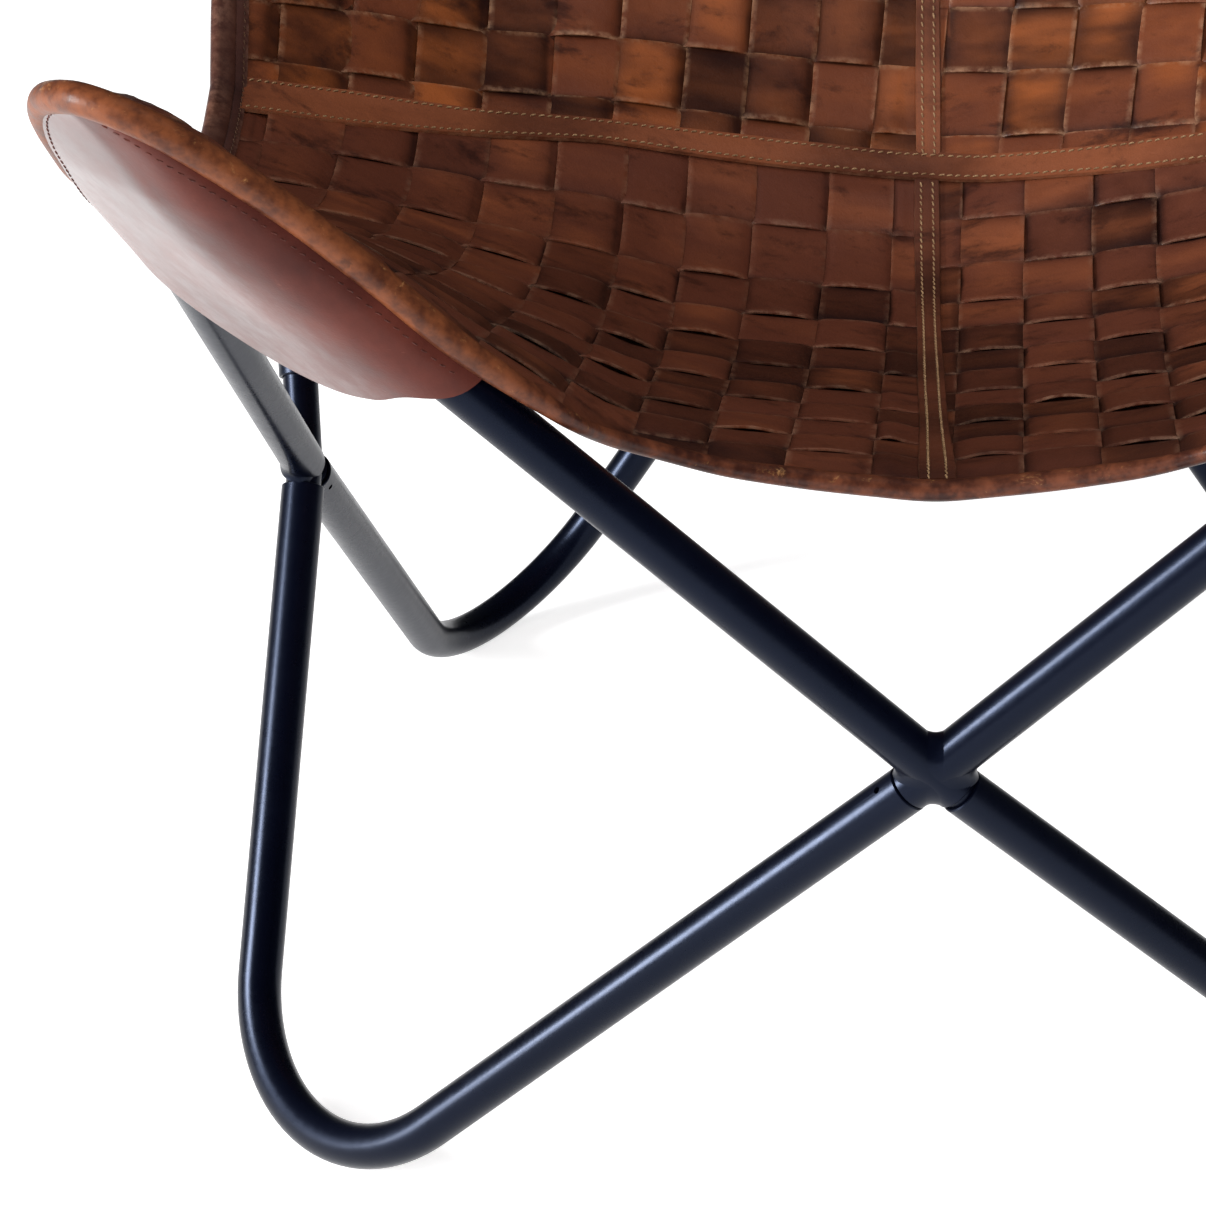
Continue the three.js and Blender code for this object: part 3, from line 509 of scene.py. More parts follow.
# -------------------------------------------------------------------- materials
class Mat:
    """A material and short names for the nodes that it is made of."""

    def __init__(self, name):
        self.m = bpy.data.materials.new(name)
        self.m.use_nodes = True
        self.nt = self.m.node_tree
        self.b = next(n for n in self.nt.nodes if n.type == "BSDF_PRINCIPLED")
        self.co = self.node("ShaderNodeTexCoord").outputs["Object"]

    def node(self, kind, **props):
        n = self.nt.nodes.new(kind)
        for k, x in props.items():
            setattr(n, k, x)
        return n

    def put(self, socket, value):
        if isinstance(value, bpy.types.NodeSocket):
            self.nt.links.new(value, socket)
        else:
            socket.default_value = value

    def noise(self, scale, detail=3.0, rough=0.55, stretch=None, distort=0.0):
        n = self.node("ShaderNodeTexNoise")
        co = self.co
        if stretch:
            mp = self.node("ShaderNodeMapping")
            mp.inputs["Scale"].default_value = stretch
            self.nt.links.new(co, mp.inputs["Vector"])
            co = mp.outputs["Vector"]
        self.nt.links.new(co, n.inputs["Vector"])
        n.inputs["Scale"].default_value = scale
        n.inputs["Detail"].default_value = detail
        n.inputs["Roughness"].default_value = rough
        n.inputs["Distortion"].default_value = distort
        return n.outputs["Fac"]

    def cells(self, scale, feature="F1"):
        n = self.node("ShaderNodeTexVoronoi", feature=feature)
        self.nt.links.new(self.co, n.inputs["Vector"])
        n.inputs["Scale"].default_value = scale
        return n.outputs["Distance"]

    def attr(self, name):
        return self.node("ShaderNodeAttribute", attribute_name=name).outputs["Fac"]

    def range(self, x, a, b, c=0.0, d=1.0, smooth=True):
        n = self.node("ShaderNodeMapRange", interpolation_type="SMOOTHSTEP" if smooth else "LINEAR", clamp=True)
        self.put(n.inputs["Value"], x)
        for k, val in (("From Min", a), ("From Max", b), ("To Min", c), ("To Max", d)):
            n.inputs[k].default_value = val
        return n.outputs["Result"]

    def math(self, op, a, b=0.0, clamp=False):
        n = self.node("ShaderNodeMath", operation=op, use_clamp=clamp)
        self.put(n.inputs[0], a)
        self.put(n.inputs[1], b)
        return n.outputs[0]

    def mix(self, fac, a, b, kind="MIX"):
        n = self.node("ShaderNodeMix", data_type="RGBA", blend_type=kind)
        self.put(n.inputs[0], fac)
        for s, x in ((n.inputs[6], a), (n.inputs[7], b)):
            self.put(s, x if isinstance(x, bpy.types.NodeSocket) else (*x, 1.0))
        return n.outputs[2]

    def split(self, axis):
        n = self.node("ShaderNodeSeparateXYZ")
        self.nt.links.new(self.co, n.inputs[0])
        return n.outputs[axis]

    def bump(self, *layers):
        """layers: (height, strength, distance in metres)"""
        last = None
        for h, strength, dist in layers:
            n = self.node("ShaderNodeBump")
            n.inputs["Strength"].default_value = strength
            n.inputs["Distance"].default_value = dist
            self.put(n.inputs["Height"], h)
            if last is not None:
                self.nt.links.new(last, n.inputs["Normal"])
            last = n.outputs["Normal"]
        self.nt.links.new(last, self.b.inputs["Normal"])

    def set(self, **values):
        for k, x in values.items():
            self.put(self.b.inputs[k.replace("_", " ")], x)


def leather(name, dark, mid, warm, pale, rough=(0.38, 0.58), coat=0.07, grain=1.0, lift=0.0):
    """Waxed, hand-rubbed leather: lightness differs at random from strip to strip, with painted shade where strips dive
    under; a painted orange sheen across the raised middles of cells; pale on scuffed cut edges, partly a painted glint.
    """
    m = Mat(name)
    tone, painted_sheen_mask, worn = m.attr("tone"), m.attr("warm"), m.attr("worn")
    big, fine = m.noise(16, 4, 0.6), m.noise(75, 5, 0.65)
    streak = m.noise(17, 3, 0.5, stretch=(0.6, 2.4, 2.6), distort=0.2)
    t = m.math("ADD", m.math("MULTIPLY", tone, 0.95), m.math("MULTIPLY", big, 0.55))
    t = m.math("ADD", t, m.math("MULTIPLY", fine, 0.35))
    col = m.mix(m.range(t, 0.68 - lift, 1.36 - lift), dark, mid)
    # painted sheen: orange highlight bands, broken up by stretched noise
    painted_sheen_mask = m.math("MULTIPLY", painted_sheen_mask, m.range(streak, 0.28, 0.74, 0.12, 1.0))
    col = m.mix(m.math("MULTIPLY", painted_sheen_mask, 0.85, True), col, warm)
    # pale scuffs on cut edges, partly painted glints and highlights, from the worn attribute
    spots = m.math("MULTIPLY", worn, m.range(m.noise(140, 4, 0.7), 0.36, 0.66))
    col = m.mix(m.math("MULTIPLY", spots, 0.7, True), col, pale)
    col = m.mix(m.range(m.noise(30, 6, 0.68, stretch=(0.8, 1.5, 1.5), distort=0.3), 0.52, 0.72, 0.0, 0.72), col, dark)
    dark_spots = m.range(m.noise(70, 5, 0.75, distort=0.4), 0.60, 0.74, 0.0, 0.5)
    col = m.mix(dark_spots, col, tuple(c * 0.45 for c in dark))
    m.set(Base_Color=col, Roughness=m.range(m.math("ADD", m.math("MULTIPLY", big, 0.5), m.math("MULTIPLY", fine, 0.5)), 0.3, 0.7, *rough),
          Specular_IOR_Level=0.32, Coat_Weight=coat, Coat_Roughness=0.3)
    m.bump((m.noise(30, 4, 0.55), 0.55, 0.0028), (m.noise(170, 4, 0.65, distort=0.8), 0.4 * grain, 0.0006), (m.cells(820), 0.28 * grain, 0.00025))
    return m.m


def paint(name):
    """Blue-black satin paint over steel tube, a little orange peel, faint dust and rubbed spots."""
    m = Mat(name)
    big, fine = m.noise(9, 4, 0.6), m.noise(210, 3, 0.6)
    col = m.mix(m.range(big, 0.35, 0.7), (0.0007, 0.0010, 0.0036), (0.0014, 0.0020, 0.0060))
    rub = m.range(m.noise(48, 6, 0.75, distort=0.5), 0.66, 0.78, 0.0, 0.5)
    col = m.mix(rub, col, (0.008, 0.010, 0.019))
    m.set(Base_Color=col, Roughness=m.range(m.math("ADD", m.math("MULTIPLY", big, 0.6), m.math("MULTIPLY", fine, 0.4)), 0.3, 0.7, 0.24, 0.34),
          Specular_IOR_Level=0.17, Specular_Tint=(0.48, 0.62, 1.0, 1.0), Coat_Weight=0.025, Coat_Roughness=0.05)
    m.bump((m.noise(330, 2, 0.5), 0.12, 0.0003), (m.noise(60, 4, 0.6), 0.10, 0.0006))
    return m.m


def thread(name, a, b):
    m = Mat(name)
    n = m.noise(260, 4, 0.7)
    m.set(Base_Color=m.mix(m.range(n, 0.35, 0.65), a, b), Roughness=m.range(n, 0.3, 0.7, 0.6, 0.8), Specular_IOR_Level=0.3)
    twist = m.node("ShaderNodeTexWave", wave_type="BANDS", bands_direction="DIAGONAL")
    m.nt.links.new(m.co, twist.inputs["Vector"])
    twist.inputs["Scale"].default_value = 420.0
    m.bump((twist.outputs["Fac"], 0.5, 0.0003))
    return m.m


WOVEN = leather("woven_leather", (0.0100, 0.0030, 0.0029), (0.098, 0.0258, 0.0120), (0.315, 0.083, 0.0195), (0.40, 0.22, 0.125))
# the seat's copy of the woven leather, darker and with a weaker orange sheen: painted shade on the seat
SEAT_WEAVE_SHADED = leather("seat_weave_shaded_copy", (0.0092, 0.0031, 0.0031), (0.088, 0.0250, 0.0142), (0.235, 0.067, 0.0255), (0.34, 0.19, 0.12))
# the seat strap's copy of the strap leather, much darker: painted shade on the seat
SEAT_STRAP_SHADED = leather("seat_strap_shaded_copy", (0.022, 0.0072, 0.0055), (0.088, 0.0265, 0.0145), (0.15, 0.046, 0.020), (0.27, 0.15, 0.09), lift=0.22)
STRAP = leather("strap_leather", (0.056, 0.0165, 0.0095), (0.19, 0.057, 0.025), (0.27, 0.082, 0.029), (0.30, 0.16, 0.09), lift=0.22)
BINDING = leather("binding_leather", (0.013, 0.0055, 0.0052), (0.045, 0.0165, 0.013), (0.10, 0.034, 0.018), (0.30, 0.15, 0.10), rough=(0.34, 0.5), lift=0.2)


def rim_leather():
    """Front rolled edge: orange-tan and rubbed on the arms, browner with gold scuffs across the middle, with dark
    blotches painted as the shade in its folds.
    """
    m = Mat("rim_leather")
    x = m.math("ABSOLUTE", m.split("X"))
    arm = m.range(m.math("ADD", x, m.math("MULTIPLY", m.math("SUBTRACT", m.noise(14, 3), 0.5), 0.09)), 0.13, 0.21)
    big, fine = m.noise(30, 4, 0.65), m.noise(120, 5, 0.7)
    t = m.math("ADD", m.math("MULTIPLY", big, 0.6), m.math("MULTIPLY", fine, 0.4))
    tan = m.mix(m.range(t, 0.34, 0.66), (0.045, 0.0125, 0.0062), (0.150, 0.044, 0.0155))
    brown = m.mix(m.range(t, 0.38, 0.68), (0.030, 0.0088, 0.0058), (0.135, 0.040, 0.018))
    col = m.mix(arm, brown, tan)
    # gold scuffs, a little more where the binding is scuffed or carries its painted top highlight
    gold = m.range(m.math("ADD", m.noise(85, 6, 0.8, distort=0.6), m.math("MULTIPLY", m.attr("worn"), 0.12)), 0.62, 0.74)
    col = m.mix(m.math("MULTIPLY", gold, 0.6), col, (0.42, 0.21, 0.08))
    # painted shade: dark noise blotches standing in for the shade in folds of the leather
    painted_crease_shade = m.range(m.noise(78, 6, 0.75, distort=1.4), 0.56, 0.70, 0.0, 0.55)
    col = m.mix(painted_crease_shade, col, (0.03, 0.011, 0.006))
    m.set(Base_Color=col, Roughness=m.range(t, 0.3, 0.7, 0.34, 0.52), Specular_IOR_Level=0.17, Coat_Weight=0.06, Coat_Roughness=0.2)
    m.bump((m.noise(36, 4, 0.6), 0.5, 0.0016), (m.noise(190, 4, 0.7, distort=0.8), 0.4, 0.0005), (m.cells(900), 0.2, 0.0002))
    return m.m


def pocket_leather():
    """Smooth polished hide of the corner pockets."""
    m = Mat("pocket_leather")
    big, fine = m.noise(7, 4, 0.55, distort=0.4), m.noise(60, 5, 0.65)
    col = m.mix(m.range(m.math("ADD", m.math("MULTIPLY", big, 0.75), m.math("MULTIPLY", fine, 0.25)), 0.32, 0.68), (0.034, 0.0078, 0.0060), (0.088, 0.0200, 0.0130))
    col = m.mix(m.range(m.noise(34, 6, 0.8), 0.64, 0.76, 0.0, 0.5), col, (0.13, 0.042, 0.026))
    scratch = m.range(m.noise(55, 5, 0.8, stretch=(0.35, 2.4, 2.4), distort=0.3), 0.66, 0.72, 0.0, 0.35)
    col = m.mix(scratch, col, (0.19, 0.085, 0.055))
    shine = m.range(m.attr("polish"), 0.0, 1.0, 0.0, 0.62, smooth=False)
    m.set(Base_Color=col, Roughness=m.range(fine, 0.3, 0.7, 0.30, 0.40), Specular_IOR_Level=0.13, Coat_Weight=shine, Coat_Roughness=0.13)
    m.bump((m.noise(11, 3, 0.5), 0.3, 0.004), (m.noise(150, 4, 0.65, distort=0.6), 0.22, 0.0004), (m.cells(1000), 0.14, 0.0002))
    return m.m


RIM, POCKET, PAINT = rim_leather(), pocket_leather(), paint("tube_paint")
THREAD = thread("cream_thread", (0.19, 0.105, 0.052), (0.34, 0.21, 0.11))
THREAD_DARK = thread("brown_thread", (0.035, 0.015, 0.010), (0.085, 0.04, 0.022))
THREAD_RED = thread("red_brown_thread", (0.040, 0.0105, 0.0075), (0.075, 0.019, 0.013))


# ------------------------------------------------------------------------ frame
def settle(corner, a, b):
    """Foot corner height at which the bend's underside is FOOT_WEAR below the floor."""
    p = corner.copy()
    for _ in range(8):
        p[2] -= vee_line(a, p, b, FOOT_BEND_R, 120)[0][:, 2].min() - TUBE_R + FOOT_WEAR
    return p


fx_over, rx_over = fx + unit(fx - knee) * CROSS_OVERRUN, rx + unit(rx - top) * CROSS_OVERRUN
front_foot, rear_foot = settle(vec(FRONT_FOOT), fx, sx), settle(vec(REAR_FOOT), rx, sx)
stub_top, stub_low = toward(sx, top, STUB_HEIGHT), toward(sx, front_foot, SIDE_END)
GAP = 0.3


def frame_tube(name, line, cuts=(None, None), flip=False):
    bag = Bag()
    pts, tan = line
    saddles = tube(bag, mir(pts) if flip else pts, mir(tan) if flip else tan, cuts)
    piece(name + "_smooth", bag, PAINT, (name,), angle=30)
    return saddles


upright = (toward(sx, front_foot, 60), toward(sx, top, 60), PIN_R + GAP)
side_end = toward(sx, knee, 2)
welds = Bag()
s = frame_tube("knee_tube_left", vee_line(fx_over, knee, side_end, BEND_R, 26, 6), (None, upright))
fillet(welds, s[0], unit(knee - sx), *upright[:2], PIN_R, 2.6)
up_r = (mir(upright[0]), mir(upright[1]), PIN_R + GAP)
s = frame_tube("knee_tube_right", vee_line(mir(toward(fx, mir(fx), 0)) + unit(mir(knee) - fx) * 2, mir(knee), mir(side_end), BEND_R, 26, 6),
               ((toward(fx, knee, 60), toward(fx, fx_over, 60), TUBE_R + GAP), up_r))
fillet(welds, s[0], unit(mir(knee) - fx), toward(fx, knee, 60), toward(fx, fx_over, 60), TUBE_R, 5.0)
fillet(welds, s[1], unit(mir(knee) - mir(sx)), *up_r[:2], PIN_R, 2.6)
frame_tube("back_tube_left", vee_line(rx_over, top, stub_top, BEND_R, 26, 6))
s = frame_tube("back_tube_right", vee_line(rx + unit(mir(top) - rx) * 2, mir(top), mir(stub_top), BEND_R, 26, 6),
               ((toward(rx, top, 60), toward(rx, rx_over, 60), TUBE_R + GAP), None))
fillet(welds, s[0], unit(mir(top) - rx), toward(rx, top, 60), toward(rx, rx_over, 60), TUBE_R, 5.0)


def hole_side(end, corner):
    """The side of a leg that the locking hole at one of its ends is drilled from."""
    k = np.sign(corner[0])
    if np.linalg.norm(end - fx) < 60:
        return np.array([-0.676, -0.418, 0.607]) if k < 0 else np.array([0.62, 0.61, -0.5])
    if abs(end[0]) > 200:
        return np.array([0, 0.75, -0.6]) if corner[1] < 0 else np.array([-k * 0.826, -0.426, -0.369])
    return np.array([0, -1, 0.15])


def leg(name, a, corner, b):
    """Bent leg: a flat ground off under the foot by wear, and a drilled locking hole near each sleeve end."""
    pts, tan = vee_line(a, corner, b, FOOT_BEND_R, 34, 6)
    bag = Bag()
    tube(bag, pts, tan)
    for v in bag.v:
        v[:, 2] = np.maximum(v[:, 2], 0.0)
    o = piece(name + "_smooth", bag, PAINT, (name,), angle=30)
    drill = Bag()
    for end, d in ((a, tan[0]), (b, -tan[-1])):
        out = hole_side(end, corner)
        out = unit(out - (out @ d) * d)
        at = end + d * HOLE_AT
        bar(drill, [at + out * (BORE_R - 3), at + out * (BORE_R + 0.5), at + out * (TUBE_R + 3)], HOLE_R, 20, 0.2)
    me = bpy.data.meshes.new(name + "_drill")
    v = np.concatenate(drill.v) * 0.001
    me.from_pydata(v.tolist(), [], [list(map(int, f)) for g in (drill.q, drill.t) for part in g for f in part])
    cutter = bpy.data.objects.new(name + "_drill", me)
    bpy.context.scene.collection.objects.link(cutter)
    mod = o.modifiers.new("holes", "BOOLEAN")
    mod.operation, mod.solver, mod.object = "DIFFERENCE", "EXACT", cutter
    bpy.context.view_layer.update()
    new = bpy.data.meshes.new_from_object(o.evaluated_get(bpy.context.evaluated_depsgraph_get()))
    o.modifiers.clear()
    o.data = new
    new.shade_smooth()
    new.set_sharp_from_angle(angle=math.radians(30))
    bpy.data.objects.remove(cutter)


leg("front_leg_left", toward(fx, front_foot, SLEEVE_END), front_foot, stub_low)
leg("front_leg_right", toward(fx_over, mir(front_foot), 2), mir(front_foot), mir(stub_low))
leg("rear_leg_left", toward(sx, rear_foot, SIDE_END), rear_foot, toward(rx, rear_foot, SLEEVE_END))
leg("rear_leg_right", mir(toward(sx, rear_foot, SIDE_END)), mir(rear_foot), toward(rx_over, mir(rear_foot), 2))


def spigot(name, pts, collar=None):
    """Plug bar. collar: a cross, the foot that the bar points to and the tube that the collar is shaped onto."""
    bag = Bag()
    bar(bag, pts, PIN_R)
    if collar:
        cross, foot, a, b = collar
        ends = np.array([toward(cross, foot, 3), toward(cross, foot, SLEEVE_END - 0.7)])
        rims = tube(bag, ends, np.array([unit(foot - cross)] * 2), ((a, b, TUBE_R + GAP), None), r=TUBE_R - 0.15, bore=PIN_R + 0.02, chamfer=0.35)
        fillet(welds, rims[0], unit(foot - cross), a, b, TUBE_R, 4.0)
    piece(name + "_bar", bag, PAINT, (name,), angle=30)


spigot("front_spigot_right", [toward(fx_over, knee, SPIGOT_GRIP), fx_over, toward(fx_over, mir(front_foot), SPIGOT_GRIP)])
spigot("front_spigot_left", [toward(fx, front_foot, 11.6), toward(fx, front_foot, 30), toward(fx, front_foot, SLEEVE_END + SPIGOT_GRIP)],
       (fx, front_foot, toward(fx, knee, 60), toward(fx, fx_over, 60)))
spigot("rear_spigot_right", [toward(rx_over, top, SPIGOT_GRIP), rx_over, toward(rx_over, mir(rear_foot), SPIGOT_GRIP)])
spigot("rear_spigot_left", [toward(rx, rear_foot, 11.6), toward(rx, rear_foot, 30), toward(rx, rear_foot, SLEEVE_END + SPIGOT_GRIP)],
       (rx, rear_foot, toward(rx, top, 60), toward(rx, rx_over, 60)))
for side, fl in (("left", lambda p: p), ("right", mir)):
    spigot(f"side_upright_spigot_{side}", [fl(toward(sx, front_foot, SLEEVE_END + SPIGOT_GRIP)), fl(sx), fl(toward(sx, top, STUB_HEIGHT + SPIGOT_GRIP))])
    spigot(f"side_rear_spigot_{side}", [fl(toward(sx, rear_foot, 8.5)), fl(toward(sx, rear_foot, 30)), fl(toward(sx, rear_foot, SLEEVE_END + SPIGOT_GRIP))])

piece("cross_weld_beads", welds, PAINT)

# ------------------------------------------------------------------------ sling
STRIP_T = 1.6        # one strip of leather
WAVE = 1.15          # how far a strip's middle rises and falls in the weave
STRAP_HALF = 6.4

# How far the long strips lean sideways, by where they start at the seam.
LEAN_X = [-349, -190, -154, -123, -88, -50, -16, 20, 52, 87, 119, 230, 349]
SEAT_LEAN = [0, 0, -2, -5.7, -10, -15, -11.6, -13, -14, -15.5, -15.5, -8, 0]
BACK_LEAN = [0, -1, -3, -4, -4.5, -5, -7, -6.5, -7.5, -9, -9, -4, 0]


class Weave:
    """One woven panel: the boundaries of its long strips (columns) and cross strips (rows), and which lies on top where."""

    def __init__(self, surf, side, cols, rows, parity, tilt=0.0, spread=0.0):
        self.s, self.side, self.parity, self.tilt, self.spread = surf, side, parity, tilt, spread
        self.cols = np.array([0.0] + cols + [cols[-1] + 34.4, cols[-1] + 68.8])
        self.rows = np.array(rows, float)

    def lean(self, x, d):
        if self.s.part == "seat":
            return np.interp(x, LEAN_X, SEAT_LEAN) * d / 420.0
        return np.interp(x, LEAN_X, BACK_LEAN) * np.clip((100 - d) / 75.0, -0.8, 1.4)

    def x_of(self, c, d):
        """x of a column coordinate (whole numbers are boundaries)."""
        base = self.side * np.interp(c, np.arange(len(self.cols)), self.cols)
        return base + self.lean(base, d) * smooth01(np.abs(base) / 12)

    def c_of(self, x, d):
        base = np.array(x, float)
        for _ in range(4):
            base = x - self.lean(base, d) * smooth01(np.abs(base) / 12)
        return np.interp(self.side * base, self.cols, np.arange(len(self.cols)))

    def warp(self, x):
        ax = np.abs(x)
        return (1 + self.spread * np.clip(ax / 142, 0, 1) ** 2), -self.tilt * np.clip(ax, 0, 180)

    def d_of(self, r, x):
        k, off = self.warp(x)
        return np.interp(r, np.arange(len(self.rows)), self.rows) * k + off

    def r_of(self, d, x):
        k, off = self.warp(x)
        return np.interp((d - off) / k, self.rows, np.arange(len(self.rows)))

    def build(self, name, replaces):
        bag, area = Bag(), 0.0
        g = np.random.default_rng(abs(hash((self.s.part == "seat", self.side > 0))) % 1000 + 5)
        nr, nc = len(self.rows) + 2, len(self.cols) + 2
        cell = {k: g.random((nc, nr)) for k in ("tone", "crown", "lip", "curl", "warm")}
        seat = self.s.part == "seat"

        def emit(u, d, sign, i, j, along, a, col):
            """One strip: u, d of its grid (across, along), its over/under sign, the cell that each point is in."""
            nonlocal area
            p, n = self.s.at(u, d)
            rim = np.minimum.reduce([
                np.clip((np.abs(u) * 345 - 8) / 10, 0, 1), np.clip((0.975 - np.abs(u)) * 345 / 10, 0, 1),
                np.clip((d - 9) / 9, 0, 1), np.clip((self.s.length(u) - 14 - d) / 10, 0, 1)])
            rim = rim * self.s.calm(u, d)
            fade = 0.35 + 0.65 * rim
            sq = np.tanh(3.6 * sign) / math.tanh(3.6)
            over = np.clip(sq, 0, 1)
            hump = np.clip(sign, 0, 1) ** 0.7
            ci, cj = np.clip(i, 0, nc - 1).astype(int), np.clip(j, 0, nr - 1).astype(int)
            crown = (0.25 + 0.75 * cell["crown"][ci, cj]) * hump * rim
            ends = np.abs(a)
            curl = (cell["curl"][ci, cj] - 0.35) * 0.8 * ends**3 * over * rim
            off = WAVE * fade * sq + crown + curl
            if not col:
                # The near edge of a cross strip lifts off the strip that dives under it.
                near = a if seat else -a
                open_ = np.clip((d - 110) / 130, 0.12, 1) * (1 - 0.8 * smooth01((np.abs(u) * 345 - 140) / 90)) if seat else 0.35
                off = off + (0.4 + 1.1 * cell["lip"][ci, cj]) * open_ * np.clip(sign, 0, 1) ** 2.2 * np.clip((near + 0.35) / 1.35, 0, 1) ** 1.6 * rim
            edge = np.where(ends > 0.985, 0.42, 0.0)
            half = STRIP_T / 2
            hi, lo = p + n * (off + half - edge)[..., None], p + n * (off - half + edge)[..., None]
            # pale on the cut ends of strips and on the most lifted parts: scuffed wear, partly a painted glint where
            # edges catch the light
            worn = smooth01((ends - 0.93) / 0.06) * (0.35 + 0.65 * cell["lip"][ci, cj]) + 0.25 * smooth01((np.abs(off) - 2.0) / 1.2)
            dive = 1 - np.abs(sq)
            # painted sheen: orange bands across the raised middles of over cells, stronger on the back, fading towards
            # the seat's front
            warm = (0.12 + 1.15 * cell["warm"][ci, cj] ** 2) * (0.25 + 0.75 * np.clip(hump, 0, 1) ** 2)
            warm = warm * 1.25 + 0.1 if not seat else warm * np.clip(1.15 - d / 420, 0.5, 1)
            # painted shade: darker where a strip dives under its neighbour and lighter on over cells, on top of random
            # lightness per cell
            tone = cell["tone"][ci, cj] * 0.85 + 0.12 + 0.16 * over - 0.3 * dive
            # painted light on the seat: lighter near the cross seam and on the left, darker towards the front edge and
            # the right
            if seat:
                tone = tone + 0.10 + 0.10 * np.clip(1 - d / 170, 0, 1) - 0.22 * np.clip(d / 400, 0, 1) - 0.28 * u
                worn = worn * 0.6
            bag.slab(hi, lo, tone=tone, warm=np.clip(warm, 0, 1), worn=worn)
            area += float(np.linalg.norm(np.cross(p[1:, :-1] - p[:-1, :-1], p[:-1, 1:] - p[:-1, :-1]), axis=2).sum())

        across = np.array([-1.0, -0.97, -0.82, -0.5, 0.0, 0.5, 0.82, 0.97, 1.0])
        # Long strips, from the seam to the rolled edge.
        for i in range(len(self.cols) - 1):
            gap = (-0.55 + 0.5 * g.random(2)) / 34
            lo_c, hi_c = i + gap[0], i + 1 - gap[1]
            c = lo_c + (hi_c - lo_c) * (across[:, None] + 1) / 2
            n_along = 150
            t = np.linspace(0, 1, n_along)[None, :]
            d = np.zeros((len(across), n_along)) + t * 430
            for _ in range(3):
                x = self.x_of(c + 0 * d, d)
                u = np.clip(self.s.u_of(x, d), -0.988, 0.988)
                stop = self.s.length(u[:, -1:]) - 5.0
                d = 0.5 + t * (stop - 0.5)
            x = self.x_of(c + 0 * d, d)
            x = self.side * np.maximum(self.side * x, STRAP_HALF - 4.0)
            u = np.clip(self.s.u_of(x, d), -0.988, 0.988)
            if np.ptp(u) < 0.004 or np.abs(u[0] - u[-1]).max() < 0.012:
                continue
            r = self.r_of(d, x)
            j = np.floor(r)
            sign = np.sin(math.pi * r) * (-1.0) ** (i + self.parity + 1)
            emit(u, d, sign, np.full_like(r, i), j, r, across[:, None] + 0 * r, True)
        # Cross strips, from the centre seam to the side edge.
        for j in range(len(self.rows) - 1):
            gap = (-0.55 + 0.5 * g.random(2)) / 37
            lo_r, hi_r = j + gap[0], j + 1 - gap[1]
            n_along = 118
            t = np.linspace(0, 1, n_along)
            u_end = 0.988
            base = (STRAP_HALF - 4.0) / 345
            mid = float(np.mean(self.rows[j:j + 2]))
            u1 = self.side * (base + (u_end - base) * t)
            # Only the stretch that lies inside the panel.
            x1 = u1 * 345
            room = self.s.length(u1) - 5.0 - self.d_of(np.full(n_along, lo_r), x1)
            ok = (room > 2.5) & (self.d_of(np.full(n_along, hi_r), x1) > 2.0)
            if ok.sum() < 6:
                continue
            runs = np.split(np.flatnonzero(ok), np.flatnonzero(np.diff(np.flatnonzero(ok)) > 1) + 1)
            for run in runs:
                if len(run) < 6:
                    continue
                uu = np.linspace(u1[run[0]], u1[run[-1]], max(8, int(len(run) * 1.0)))[None, :]
                rr = lo_r + (hi_r - lo_r) * (across[:, None] + 1) / 2
                u = uu + 0 * rr
                x = u * 345
                d = self.d_of(rr + 0 * u, x)
                d = np.clip(d, 0.5, self.s.length(u) - 5.0)
                # Rows that the rolled edge cuts keep their cross section.
                lo_d, hi_d = d[0:1], d[-1:]
                d = lo_d + (hi_d - lo_d) * (across[:, None] + 1) / 2
                c = self.c_of(x, d)
                i = np.floor(c)
                sign = np.sin(math.pi * c) * (-1.0) ** (j + self.parity)
                emit(u, d, sign, i, np.full_like(c, j), c, across[:, None] + 0 * c, False)
        o = piece(name, bag, SEAT_WEAVE_SHADED if seat else WOVEN, replaces, angle=42)
        return o, area * 1e-6


def series(first, step, n):
    return [first + step * k for k in range(n)]


seat_l = Weave(SEAT, -1, [16.2, 49.8, 88.4, 123.3, 154.4, 189.2, 223.8, 258.4, 293, 327.6], [-6, 47, 95, 140, 182, 222, 259, 296, 333, 368, 401, 434, 467, 500], 0, spread=0.13)
seat_r = Weave(SEAT, 1, [19.9, 52.3, 87.1, 119.4, 153.7, 188, 222.3, 256.6, 291, 325], series(-1.1, 36.6, 15), 1, spread=0.10)
back_l = Weave(BACK, -1, [21.4, 56.5, 91.7, 124.4, 159.6, 193.7, 228.1, 261.9, 292.8, 325], [-18, 24, 66, 106] + series(145, 38.5, 14), 1)
back_r = Weave(BACK, 1, [12.6, 47.7, 82, 116.5, 148, 182, 216, 250, 284, 318], [-17, 23.5, 64, 102] + series(141, 38.5, 14), 1, tilt=0.09)
panels = {}
for w, name, node in ((seat_l, "seat_left_weave", "seat_left_panel"), (seat_r, "seat_right_weave", "seat_right_panel"),
                      (back_l, "back_left_weave", "back_left_panel"), (back_r, "back_right_weave", "back_right_panel")):
    panels[name] = w.build(name, (node,))


